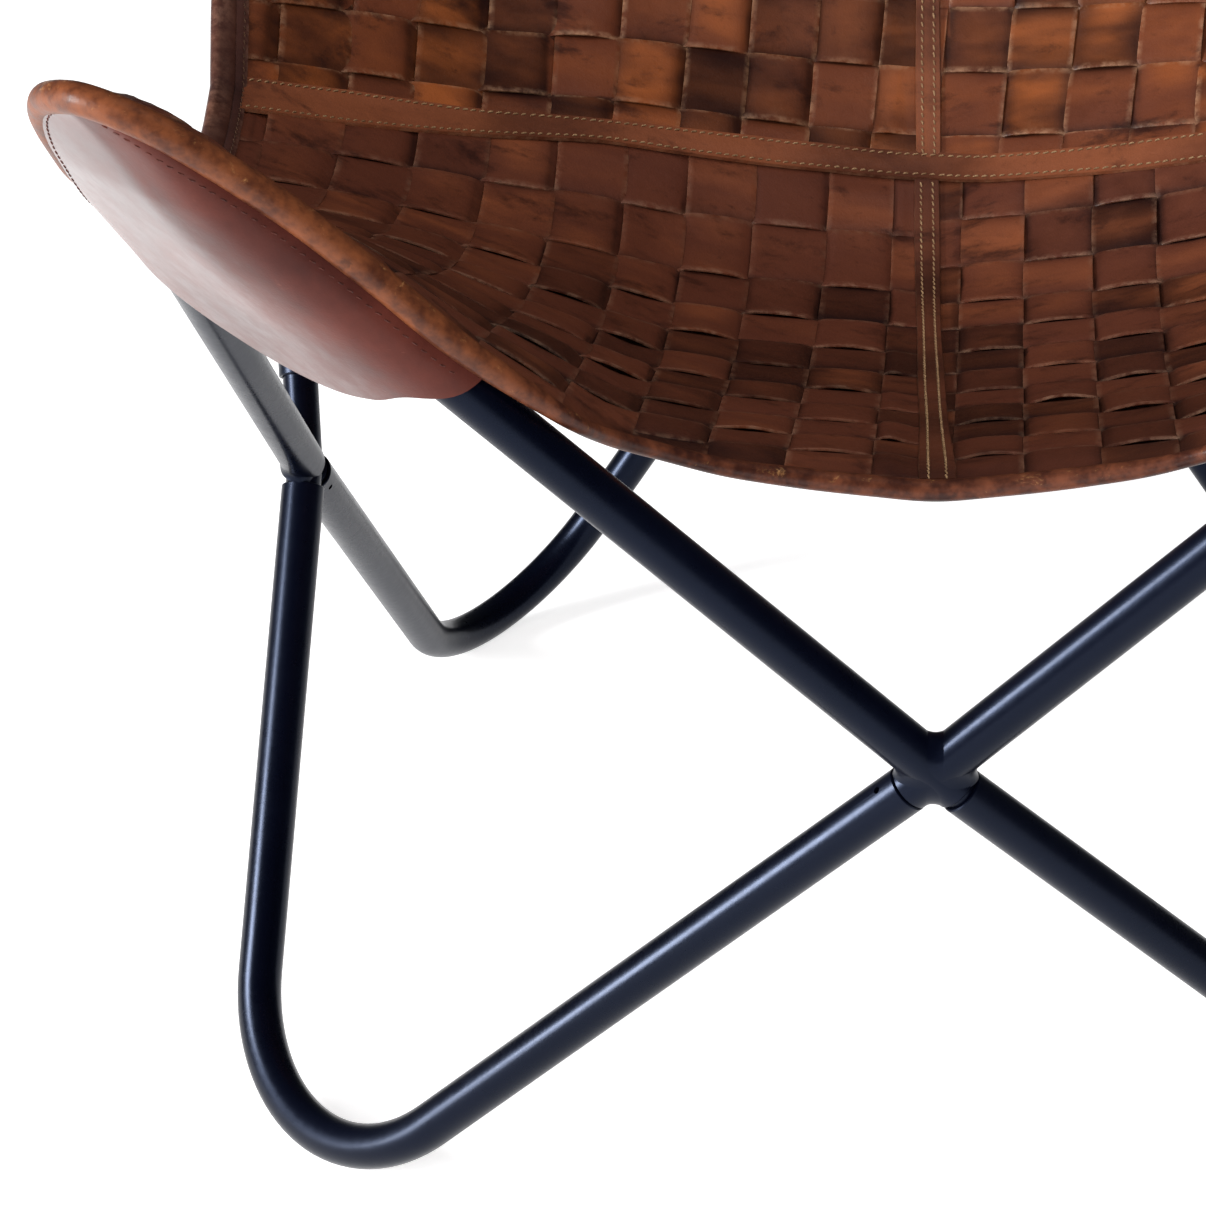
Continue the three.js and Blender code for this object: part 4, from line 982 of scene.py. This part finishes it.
def stitches(bag, p, n, pitch=4.6, length=3.3, r=0.5, lift=0.25, slant=0.35, seed=0):
    """A row of sewn stitches along points p with surface normals n."""
    g = np.random.default_rng(seed)
    s = np.concatenate([[0], np.cumsum(np.linalg.norm(np.diff(p, axis=0), axis=1))])
    at = np.arange(pitch * 0.6, s[-1] - length, pitch)
    if not len(at):
        return
    at = at + (g.random(len(at)) - 0.5) * 0.5
    long = length * (0.9 + 0.2 * g.random(len(at)))
    k = np.array([0.0, 0.16, 0.5, 0.84, 1.0])
    size = np.array([0.35, 0.9, 1.0, 0.9, 0.35])
    high = np.array([-0.9, 0.15, 0.4, 0.15, -0.9])
    q = at[:, None] + long[:, None] * k[None, :]
    pt = np.stack([np.interp(q, s, p[:, c]) for c in range(3)], -1)
    nn = unit(np.stack([np.interp(q, s, n[:, c]) for c in range(3)], -1))
    t = unit(pt[:, -1:] - pt[:, :1]) + 0 * pt
    b = np.cross(nn, t)
    tilt = slant * (0.7 + 0.6 * g.random(len(at)))
    pt = pt + nn * (lift + high * r)[None, :, None] + b * ((k - 0.5)[None, :] * 2 * tilt[:, None])[..., None]
    ang = np.linspace(0, 2 * math.pi, 6, endpoint=False)
    ring = pt[:, :, None] + r * size[None, :, None, None] * (np.cos(ang)[None, None, :, None] * b[:, :, None] + np.sin(ang)[None, None, :, None] * nn[:, :, None])
    m = len(at)
    v = ring.reshape(m, -1, 3)
    i, j = np.meshgrid(np.arange(4), np.arange(6), indexing="ij")
    i, j = i.ravel(), j.ravel()
    j2 = (j + 1) % 6
    q1 = np.column_stack([i * 6 + j, (i + 1) * 6 + j, (i + 1) * 6 + j2, i * 6 + j2])
    caps = np.array([[0, 1, 2, 3], [0, 3, 4, 5], [27, 26, 25, 24], [29, 28, 27, 24]])
    f = np.concatenate([q1, caps])
    bag.add(v.reshape(-1, 3), (np.arange(m)[:, None, None] * 30 + f[None]).reshape(-1, 4))


def strap(bag, grid_top, profile, under=None, wear=0.0, seed=0):
    """A flat strip on both faces of the sling. grid_top: (across, along, 3) points and normals; profile: height of its top at each across position."""
    p, n = grid_top
    h = np.asarray(profile)[:, None]
    g = np.random.default_rng(seed)
    wob = 0.12 * np.cumsum(g.normal(size=p.shape[1])) / math.sqrt(p.shape[1])
    hi = p + n * (h + wob[None])[..., None]
    lo = p + n * (h + wob[None] - 1.7)[..., None]
    a = np.linspace(-1, 1, p.shape[0])[:, None] + 0 * p[..., 0]
    tone = 0.45 + 0.25 * np.sin(np.linspace(0, 23, p.shape[1]))[None] + 0 * a
    # a flat share of the painted orange sheen over the whole strap; pale scuffs along its edges
    bag.slab(hi, lo, tone=tone, warm=0.25 + 0 * a, worn=wear * smooth01((np.abs(a) - 0.86) / 0.1))


# Centre seams: a felled strap with two rows of stitches.
for surf, name, node, x_mid in ((SEAT, "seat_centre_strap", "seat_centre_seam", 0.6), (BACK, "back_centre_strap", "back_centre_seam", 1.6)):
    d_end = float(surf.length(np.array([0.0]))[0]) - 5
    d = np.linspace(7, d_end, 150)
    xs = np.array([-6.4, -6.1, -4.6, -3.1, -1.6, 0, 1.6, 3.1, 4.6, 6.1, 6.4])
    widen = (1 + 0.05 * np.sin(d / 31) + 0.25 * (smooth01((d - 250) / 180) if surf is SEAT else 0 * d))[None]
    x = x_mid + xs[:, None] * widen
    p, n = surf.at(surf.u_of(x, d[None] + 0 * x), d[None] + 0 * x)
    bag = Bag()
    prof = np.array([2.9, 3.35, 3.6, 3.25, 3.7, 3.85, 3.7, 3.25, 3.6, 3.35, 2.9])
    strap(bag, (p, n), prof, wear=0.55, seed=5)
    strap(bag, (p, -n), prof[::-1] - 0.4, wear=0.3, seed=6)
    o = piece(name, bag, SEAT_STRAP_SHADED if surf is SEAT else STRAP, (node,))
    thr = Bag()
    for k, sgn in ((3, 0), (7, 1)):
        stitches(thr, p[k] + n[k] * 3.25, n[k], lift=0.3, seed=20 + k)
        stitches(thr, p[k] - n[k] * 2.85, -n[k], lift=0.3, seed=40 + k)
    st = piece(name + "_stitching", thr, THREAD)
    panels[name] = (o, 2 * 0.0128 * float(d[-1] - d[0]) * 1e-3, st)

# Cross seam: the back laps over the seat under a band with two rows of stitches.
BAND_X = [-349, -293, -238, -167, -128, -88, -48, 0, 32, 72, 110, 143, 240, 349]
BAND_MID = [-8, -6, -3.2, -0.5, 0.3, 2, 3, 2, -2, -4.5, -7.5, -9.5, -6, -4]
BAND_HALF = [13.6, 13.4, 9.4, 6.4, 6.8, 7.2, 7, 7, 7, 7, 8, 8.4, 9, 12]


def across_seam(x, e):
    """Point and normal at x and e millimetres above the cross seam (below it when negative)."""
    u = x / 349.0
    ps, ns = SEAT.at(u, np.maximum(-e, 0.0))
    pb, nb = BACK.at(u, np.maximum(e, 0.0))
    m = (e > 0)[..., None]
    blend = smooth01((e + 6) / 12)[..., None]
    return np.where(m, pb, ps), unit(ns * (1 - blend) + nb * blend)


x = np.linspace(-341, 341, 230)[None, :]
mid, halfw = np.interp(x, BAND_X, BAND_MID), np.interp(x, BAND_X, BAND_HALF)
rows = np.array([-1.0, -0.985, -0.78, -0.6, -0.3, 0.0, 0.3, 0.6, 0.78, 0.985, 1.0])[:, None]
reach = halfw + 2.6
e = mid + rows * reach
p, n = across_seam(x + 0 * e, e)
prof = np.array([4.0, 4.5, 4.25, 3.95, 4.15, 4.2, 4.1, 3.75, 3.75, 3.35, 2.9])
bag = Bag()
strap(bag, (p, n), prof, wear=0.5, seed=8)
strap(bag, (p, -n), prof[::-1] * 0 + 3.2, wear=0.3, seed=9)
band = piece("cross_seam_band", bag, STRAP, ("cross_seam",))
thr = Bag()
for sgn, h, sd in ((-1, 4.05, 61), (1, 3.65, 62)):
    e1 = mid + sgn * halfw
    p1, n1 = across_seam(x, e1)
    stitches(thr, p1[0] + n1[0] * h, n1[0], lift=0.3, seed=sd)
    stitches(thr, p1[0] - n1[0] * 3.2, -n1[0], lift=0.3, seed=sd + 5)
band_st = piece("cross_seam_stitching", thr, THREAD)


# ------------------------------------------------------------------ edge bindings
def section_bead(r=5.9):
    a = np.radians(np.linspace(152, -152, 27))
    return np.column_stack([r * np.cos(a), r * np.sin(a)])


def section_fold(out=5.6, lip=12.0, half=3.1):
    a = np.radians(np.linspace(90, -90, 11))
    arc = np.column_stack([out - half + half * np.cos(a), half * np.sin(a)])
    top_lip = np.array([[-lip, half - 0.2], [-lip + 2.4, half + 0.35], [-6.5, half + 0.15], [-5.6, half - 0.55], [-4.7, half + 0.1], [-1.0, half + 0.3]])
    return np.vstack([top_lip, arc, (top_lip * [1, -1])[::-1]])


def binding(name, path, inward, up, section, material, replaces, t=1.7, lump=0.06, size=1.0, seed=0):
    """A strip of leather folded round the sling's edge and swept along it."""
    g = np.random.default_rng(seed)
    tan = tangents(path)
    o = -(inward - (inward * tan).sum(1)[:, None] * tan)
    for _ in range(8):
        o[1:-1] = 0.25 * o[:-2] + 0.5 * o[1:-1] + 0.25 * o[2:]
    o = unit(o - (o * tan).sum(1)[:, None] * tan)
    n = np.cross(tan, o)
    n *= np.sign((n * up).sum(1).mean())
    sec = section
    st = np.gradient(sec, axis=0)
    sn = unit(np.column_stack([-st[:, 1], st[:, 0]]))
    if (sn[len(sec) // 2] @ np.array([1, 0])) < 0:
        sn = -sn
    k = len(path)
    noise = np.zeros(k)
    for f in (5, 11, 23, 47):
        noise += np.sin(np.linspace(0, f * math.pi, k) + g.random() * 7) / math.sqrt(f)
    scale = (1 + lump * noise / 1.2) * size

    def place(q):
        return path[None] + (q[:, None, :1] * scale[None, :, None]) * o[None] + (q[:, None, 1:] * scale[None, :, None]) * n[None]

    outer, inner = place(sec + sn * t / 2), place(sec - sn * t / 2)
    bag = Bag()
    pos = np.linspace(0, 1, len(sec))
    a = np.abs(pos - 0.5) * 2
    lips = (smooth01((a - 0.9) / 0.08))[:, None] + 0 * outer[..., 0]
    # painted highlight along the upper outer face of the fold: more painted sheen and paler there; the pale lips are
    # scuffed edges
    painted_top_highlight = smooth01(1 - np.abs(pos - 0.36) / 0.28)[:, None] * (0.4 + 0.6 * (0.5 + 0.5 * np.sin(np.linspace(0, 61, k))))[None]
    bag.slab(outer, inner, tone=0.5 + 0.3 * noise[None] / 2 + 0 * lips, warm=0.2 + 0.5 * painted_top_highlight, worn=np.clip(0.5 * lips + 0.5 * painted_top_highlight, 0, 1))
    ob = piece(name, bag, material, replaces, angle=50)
    wide = float(np.linalg.norm(np.diff(sec, axis=0), axis=1).sum()) * float(np.mean(scale))
    long = float(np.linalg.norm(np.diff(path, axis=0), axis=1).sum())
    return ob, (wide * 1e-3, long * 1e-3), (path, o, n, scale)


def even(path, *others, step=3.4):
    s = np.concatenate([[0], np.cumsum(np.linalg.norm(np.diff(path, axis=0), axis=1))])
    t = np.linspace(0, s[-1], int(s[-1] / step) + 1)
    return [np.column_stack([np.interp(t, s, a[:, k]) for k in range(3)]) for a in (path, *others)]


def bead_path(table, side_table, v_far, v_tip, part, v_in, line, x0, x1):
    """Left tip's turn, the edge from tip to tip, the right tip's turn; with the direction that points into the sling."""
    turn = cubic(side_table, np.linspace(v_far, v_tip, 60))[:-1] + [0, Y_SHIFT, 0]
    u = np.linspace(-1, 1, 401)
    q = on_edge(table, np.abs(u))
    q[:, 0] *= np.sign(u)
    q[:, 1] += Y_SHIFT
    path = np.vstack([turn, q, mir(turn)[::-1]])
    left = path * np.where(path[:, :1] > 0, [-1.0, 1, 1], [1.0, 1, 1])
    tube_in = unit(nearest(line, left) - left)
    tube_in = tube_in * np.where(path[:, :1] > 0, [-1.0, 1, 1], [1.0, 1, 1])
    flat_in = np.vstack([tube_in[:len(turn)], unit(sling(part, u, np.full_like(u, v_in)) - q), tube_in[-len(turn):]])
    f = smooth01((np.abs(path[:, :1]) - x0) / (x1 - x0))
    f[:len(turn)], f[-len(turn):] = 1, 1
    return even(path, unit(flat_in * (1 - f) + tube_in * f))


path, inward = bead_path(FRONT_EDGE, SEAT_SIDE_T, SEAT_SIDE_T[6, 0], 0.0, "seat", 0.05, RESTS[0][0], 140, 175)
size = np.interp(np.abs(path[:, 0]), [0, 60, 105, 150, 182, 212, 400], [0.72, 0.68, 0.55, 0.56, 0.84, 1.0, 1.0])
front, front_flat, fr = binding("front_rolled_edge", path, inward, np.array([0, 0.3, 1.0]) + 0 * path, section_bead(), RIM,
                                ("front_edge_binding",), lump=0.04, size=size, seed=3)
path, inward = bead_path(TOP_EDGE, BACK_SIDE_T, BACK_SIDE_T[6, 0], 1.0, "back", 0.95, RESTS[1][0], 230, 262)
topb, top_flat, tr = binding("top_rolled_edge", path, inward, np.array([0, -1.0, 0.4]) + 0 * path, section_bead(), BINDING,
                             ("top_edge_binding",), lump=0.04, seed=4)
sides = {}
v0, v1 = np.linspace(SEAT_SIDE_T[5, 0], 1, 120), np.linspace(0, BACK_SIDE_T[7, 0], 130)[1:]
a = np.vstack([cubic(SEAT_SIDE_T, v0), cubic(BACK_SIDE_T, v1)]) + [0, Y_SHIFT, 0]
b = np.vstack([SEAT._mix(SEAT.p, np.full(len(v0), -0.972), v0, SEAT.nv), BACK._mix(BACK.p, np.full(len(v1), -0.972), v1, BACK.nv)])
near_u = np.full(len(v0), -0.96), np.full(len(v1), -0.96)
nrm = np.vstack([SEAT._mix(SEAT.n, near_u[0], v0, SEAT.nv), BACK._mix(BACK.n, near_u[1], v1, BACK.nv)])
path, inward, up = even(a, b - a, nrm)
for side, f in (("left", lambda q: q), ("right", mir)):
    sides[side] = binding(f"{side}_edge_fold", f(path), unit(f(inward)), f(up), section_fold(), BINDING, (f"{side}_edge_binding",), lump=0.04, seed=5)

thr = Bag()
for (path, o, n, scale), off, h, sd in ((sides["left"][2], -9.7, 4.35, 73), (sides["right"][2], -9.7, 4.35, 74)):
    for sgn in (1, -1):
        stitches(thr, path + o * off * scale[:, None] + n * sgn * h, n * sgn, pitch=5.2, length=3.4, r=0.42, lift=0.1, seed=sd)
edge_st = piece("edge_stitching", thr, THREAD_DARK)


# ------------------------------------------------------------------------ pockets
def pocket(name, corner, arm_a, arm_b, rim_a, rim_b, free, belly, node, flip, seed):
    """Leather belly under a corner of the frame. It hangs from the binding along one arm, passes under both
    arms and rises to the binding along the other; rim_a and rim_b run from the tip outwards. free is the opening
    edge, belly the lowest line as its distance from the corner and its level below the plane of the bend."""
    da, db = unit(arm_a - corner), unit(arm_b - corner)
    along, across, inner = unit(da + db), unit(db - da), unit(np.cross(da, db))
    ns, nt, power = 60, 56, 3.2

    def local(p):
        q = p - corner
        s = np.maximum.accumulate(q @ along + 1e-4 * np.arange(len(q)))
        return s, q @ across, q @ inner

    (sa, xa_, ha_), (sb, xb_, hb_) = local(rim_a), local(rim_b)
    tip = max(sa[0], sb[0])
    th = np.linspace(0, math.pi, 2001)
    ex, ey = -110 * np.sign(np.cos(th)) * np.abs(np.cos(th)) ** (2 / power), -24 * np.sin(th) ** (2 / power)
    arc = np.concatenate([[0], np.cumsum(np.hypot(np.diff(ex), np.diff(ey)))])
    q = np.linspace(0, 1, nt + 1)
    # Closer columns where the leather turns under the arms.
    q = q + 0.07 * np.sin(2 * math.pi * q) * -1
    th = np.interp(q, arc / arc[-1], th)
    stop = cubic(np.asarray(free, float), q)[:, 0]
    i = np.arange(ns + 1)[:, None] / ns
    s = tip + 0.5 + (stop[None] - tip - 0.5) * i**1.35
    xa, ha = np.interp(s, sa, xa_) + 1.2, np.interp(s, sa, ha_) - 4.2
    xb, hb = np.interp(s, sb, xb_) - 1.2, np.interp(s, sb, hb_) - 4.2
    c, sn = np.cos(th)[None], np.sin(th)[None]
    x = (xa + xb) / 2 - (xb - xa) / 2 * np.sign(c) * np.abs(c) ** (2 / power)
    f = np.clip((x - xa) / np.maximum(xb - xa, 1e-6), 0, 1)
    low = cubic(np.asarray(belly, float), s)[..., 0]
    wave = 0.7 * np.sin(s / 37 + 3 * f + seed) * np.sin(math.pi * f) + 0.4 * np.sin(s / 17 - 5 * f) * np.sin(math.pi * f)
    h = ha + (hb - ha) * f
    grow = np.sqrt(np.clip((s - tip) / 50, 0, 1))
    h = h - np.maximum(h - low, 0.5) * grow * sn ** (2 / power) + wave * smooth01((s - tip) / 40)
    h[0] += 5.0
    p = corner + s[..., None] * along + x[..., None] * across + h[..., None] * inner
    p[1:-1, 1:-1] = 0.5 * p[1:-1, 1:-1] + 0.125 * (p[:-2, 1:-1] + p[2:, 1:-1] + p[1:-1, :-2] + p[1:-1, 2:])
    n = unit(np.cross(np.gradient(p, axis=0), np.gradient(p, axis=1)))
    if (n[ns // 2, nt // 2] @ inner) > 0:
        n = -n
    hi, lo = p + n * 1.1, p - n * 1.1
    nn = n
    if flip:
        hi, lo, nn = mir(hi), mir(lo), mir(n)
    bag = Bag()
    ratio = x / np.maximum(0.5176 * s, 1.0)
    polish = smooth01((ratio + 0.94) / 0.86) ** 1.5 * (1 - 0.68 * smooth01((s - 85) / 105))
    bag.slab(hi, lo, polish=polish)
    o = piece(name, bag, POCKET, (node,), angle=50)
    area = float(np.linalg.norm(np.cross(p[1:, :-1] - p[:-1, :-1], p[:-1, 1:] - p[:-1, :-1]), axis=2).sum()) * 1e-6
    m = p.shape[1] // 2
    wide = float(np.linalg.norm(np.diff(p[-1], axis=0), axis=1).sum()) * 1e-3
    deep = float(np.linalg.norm(np.diff(p[:, m], axis=0), axis=1).sum()) * 1e-3
    lines = []
    for col in (p[:, :nt // 2], p[:, :nt // 2:-1]):
        # A line 6 mm below the end of each section.
        run = np.concatenate([np.zeros((ns + 1, 1)), np.cumsum(np.linalg.norm(np.diff(col, axis=1), axis=2), axis=1)], axis=1)
        pick = hi[:, :nt // 2] if col is not None and np.shares_memory(col, p[:, :nt // 2]) and not lines else hi[:, :nt // 2:-1]
        pn = nn[:, :nt // 2] if not lines else nn[:, :nt // 2:-1]
        at = np.stack([[np.interp(6.2, run[k], pick[k, :, c]) for c in range(3)] for k in range(4, ns - 1)])
        an = np.stack([[np.interp(6.2, run[k], pn[k, :, c]) for c in range(3)] for k in range(4, ns - 1)])
        lines.append((at, unit(an)))
    return o, area, (wide, deep), lines


u = np.linspace(-1, -0.3, 400)
front_rim = on_edge(FRONT_EDGE, -u) * [-1, 1, 1] + [0, Y_SHIFT, 0]
top_rim = on_edge(TOP_EDGE, -u) * [-1, 1, 1] + [0, Y_SHIFT, 0]
v = np.linspace(0, 1, 400)
seat_rim, back_rim = cubic(SEAT_SIDE_T, v) + [0, Y_SHIFT, 0], (cubic(BACK_SIDE_T, v) + [0, Y_SHIFT, 0])[::-1]
# The knee's binding is farthest out a little before its corner, so the two rims meet there.
k = int(np.argmin((front_rim - knee) @ unit(unit(fx - knee) + unit(sx - knee))))
seat_rim, front_rim = np.vstack([front_rim[:k + 1][::-1], seat_rim[1:]]), front_rim[k:]
KNEE_FREE = [[0, 184], [0.13, 179], [0.27, 193], [0.42, 206], [0.55, 206], [0.66, 197], [0.76, 186], [0.88, 172], [1, 165]]
TOP_FREE = [[0, 232], [0.5, 226], [1, 205]]
KNEE_BELLY = [[0, -12.5], [40, -15], [60, -16.5], [90, -18], [120, -19.5], [150, -20.5], [180, -21], [260, -20]]
TOP_BELLY = [[0, -12.5], [60, -17], [120, -19.2], [260, -19.2]]
thr = Bag()
pockets = {}
for side, flip in (("left", False), ("right", True)):
    pockets["front_" + side] = pocket(f"front_{side}_pocket_leather", knee, fx, sx, front_rim, seat_rim, KNEE_FREE, KNEE_BELLY, f"front_{side}_pocket", flip, 1)
    pockets["top_" + side] = pocket(f"top_{side}_pocket_leather", top, sx, rx, back_rim, top_rim, TOP_FREE, TOP_BELLY, f"top_{side}_pocket", flip, 2)
for o, area, flat, lines in pockets.values():
    for k, (lp, ln) in enumerate(lines):
        stitches(thr, lp, ln, pitch=5.0, length=3.3, r=0.34, lift=0.0, seed=91 + k)
pocket_st = piece("pocket_stitching", thr, THREAD_RED)

# --------------------------------------------------------------- the sling's panels and straps, looked up again
knees = ["knee_tube_left", "knee_tube_right"]
tops = ["back_tube_left", "back_tube_right"]


for name, rests in (("seat_left_weave", knees[:1]), ("seat_right_weave", knees[1:]), ("back_left_weave", tops[:1]), ("back_right_weave", tops[1:])):
    o, area = panels[name]
for name in ("seat_centre_strap", "back_centre_strap"):
    o, area, st = panels[name]


# ---------------------------------------------------------------- floor and lights
def stage():
    me = bpy.data.meshes.new("floor")
    r = 40.0
    me.from_pydata([(-r, -r, -0.0004), (r, -r, -0.0004), (r, r, -0.0004), (-r, r, -0.0004)], [], [(0, 1, 2, 3)])
    o = bpy.data.objects.new("floor", me)
    bpy.context.scene.collection.objects.link(o)
    m = Mat("floor_paper")
    n = m.noise(3, 3, 0.5)
    m.set(Base_Color=m.mix(m.range(n, 0.3, 0.7), (0.86, 0.86, 0.86), (0.88, 0.88, 0.88)), Roughness=0.9, Specular_IOR_Level=0.1,
          Emission_Color=(1.0, 1.0, 1.0, 1.0), Emission_Strength=0.72)
    me.materials.append(m.m)

    def area(name, at, look, size, power, colour=(1, 1, 1), glossy=True):
        d = bpy.data.lights.new(name, "AREA")
        d.shape, d.size, d.size_y, d.energy, d.color = "RECTANGLE", size[0], size[1], power, colour
        ob = bpy.data.objects.new(name, d)
        at, look = np.array(at, float), np.array(look, float)
        z = unit(at - look)
        x = unit(np.cross([0, 0, 1.0], z)) if abs(z[2]) < 0.99 else np.array([1.0, 0, 0])
        y = np.cross(z, x)
        mw = Matrix.Identity(4)
        for i in range(3):
            mw[i][0], mw[i][1], mw[i][2], mw[i][3] = float(x[i]), float(y[i]), float(z[i]), float(at[i])
        ob.matrix_world = mw
        ob.visible_camera, ob.visible_glossy = False, glossy
        bpy.context.scene.collection.objects.link(ob)
        return ob

    area("left_window", (-2.7, -1.0, 1.0), (0.0, -0.2, 0.4), (0.66, 1.2), 112)
    # a wider soft panel behind the window, which only the painted tubes mirror
    panel = area("tube_panel", (-2.8, -1.04, 1.02), (0.0, -0.2, 0.4), (1.1, 2.0), 160)
    panel.visible_diffuse = False
    painted = bpy.data.collections.new("painted_frame")
    for tube in bpy.data.objects:
        if tube.type == "MESH" and PAINT.name in tube.data.materials:
            painted.objects.link(tube)
    panel.light_linking.receiver_collection = painted
    area("front_soft", (-0.9, -3.1, 1.9), (0.0, 0.0, 0.45), (2.4, 1.6), 93, glossy=False)
    area("overhead", (0.5, -0.4, 2.9), (0.0, 0.0, 0.3), (2.0, 1.6), 30, glossy=False)
    w = bpy.data.worlds.new("studio")
    bpy.context.scene.world = w
    w.use_nodes = True
    bg = next(x for x in w.node_tree.nodes if x.type == "BACKGROUND")
    bg.inputs["Color"].default_value = (0.88, 0.92, 1.0, 1.0)
    bg.inputs["Strength"].default_value = 0.07
    bpy.context.scene.view_settings.view_transform = "Standard"


camera()
stage()
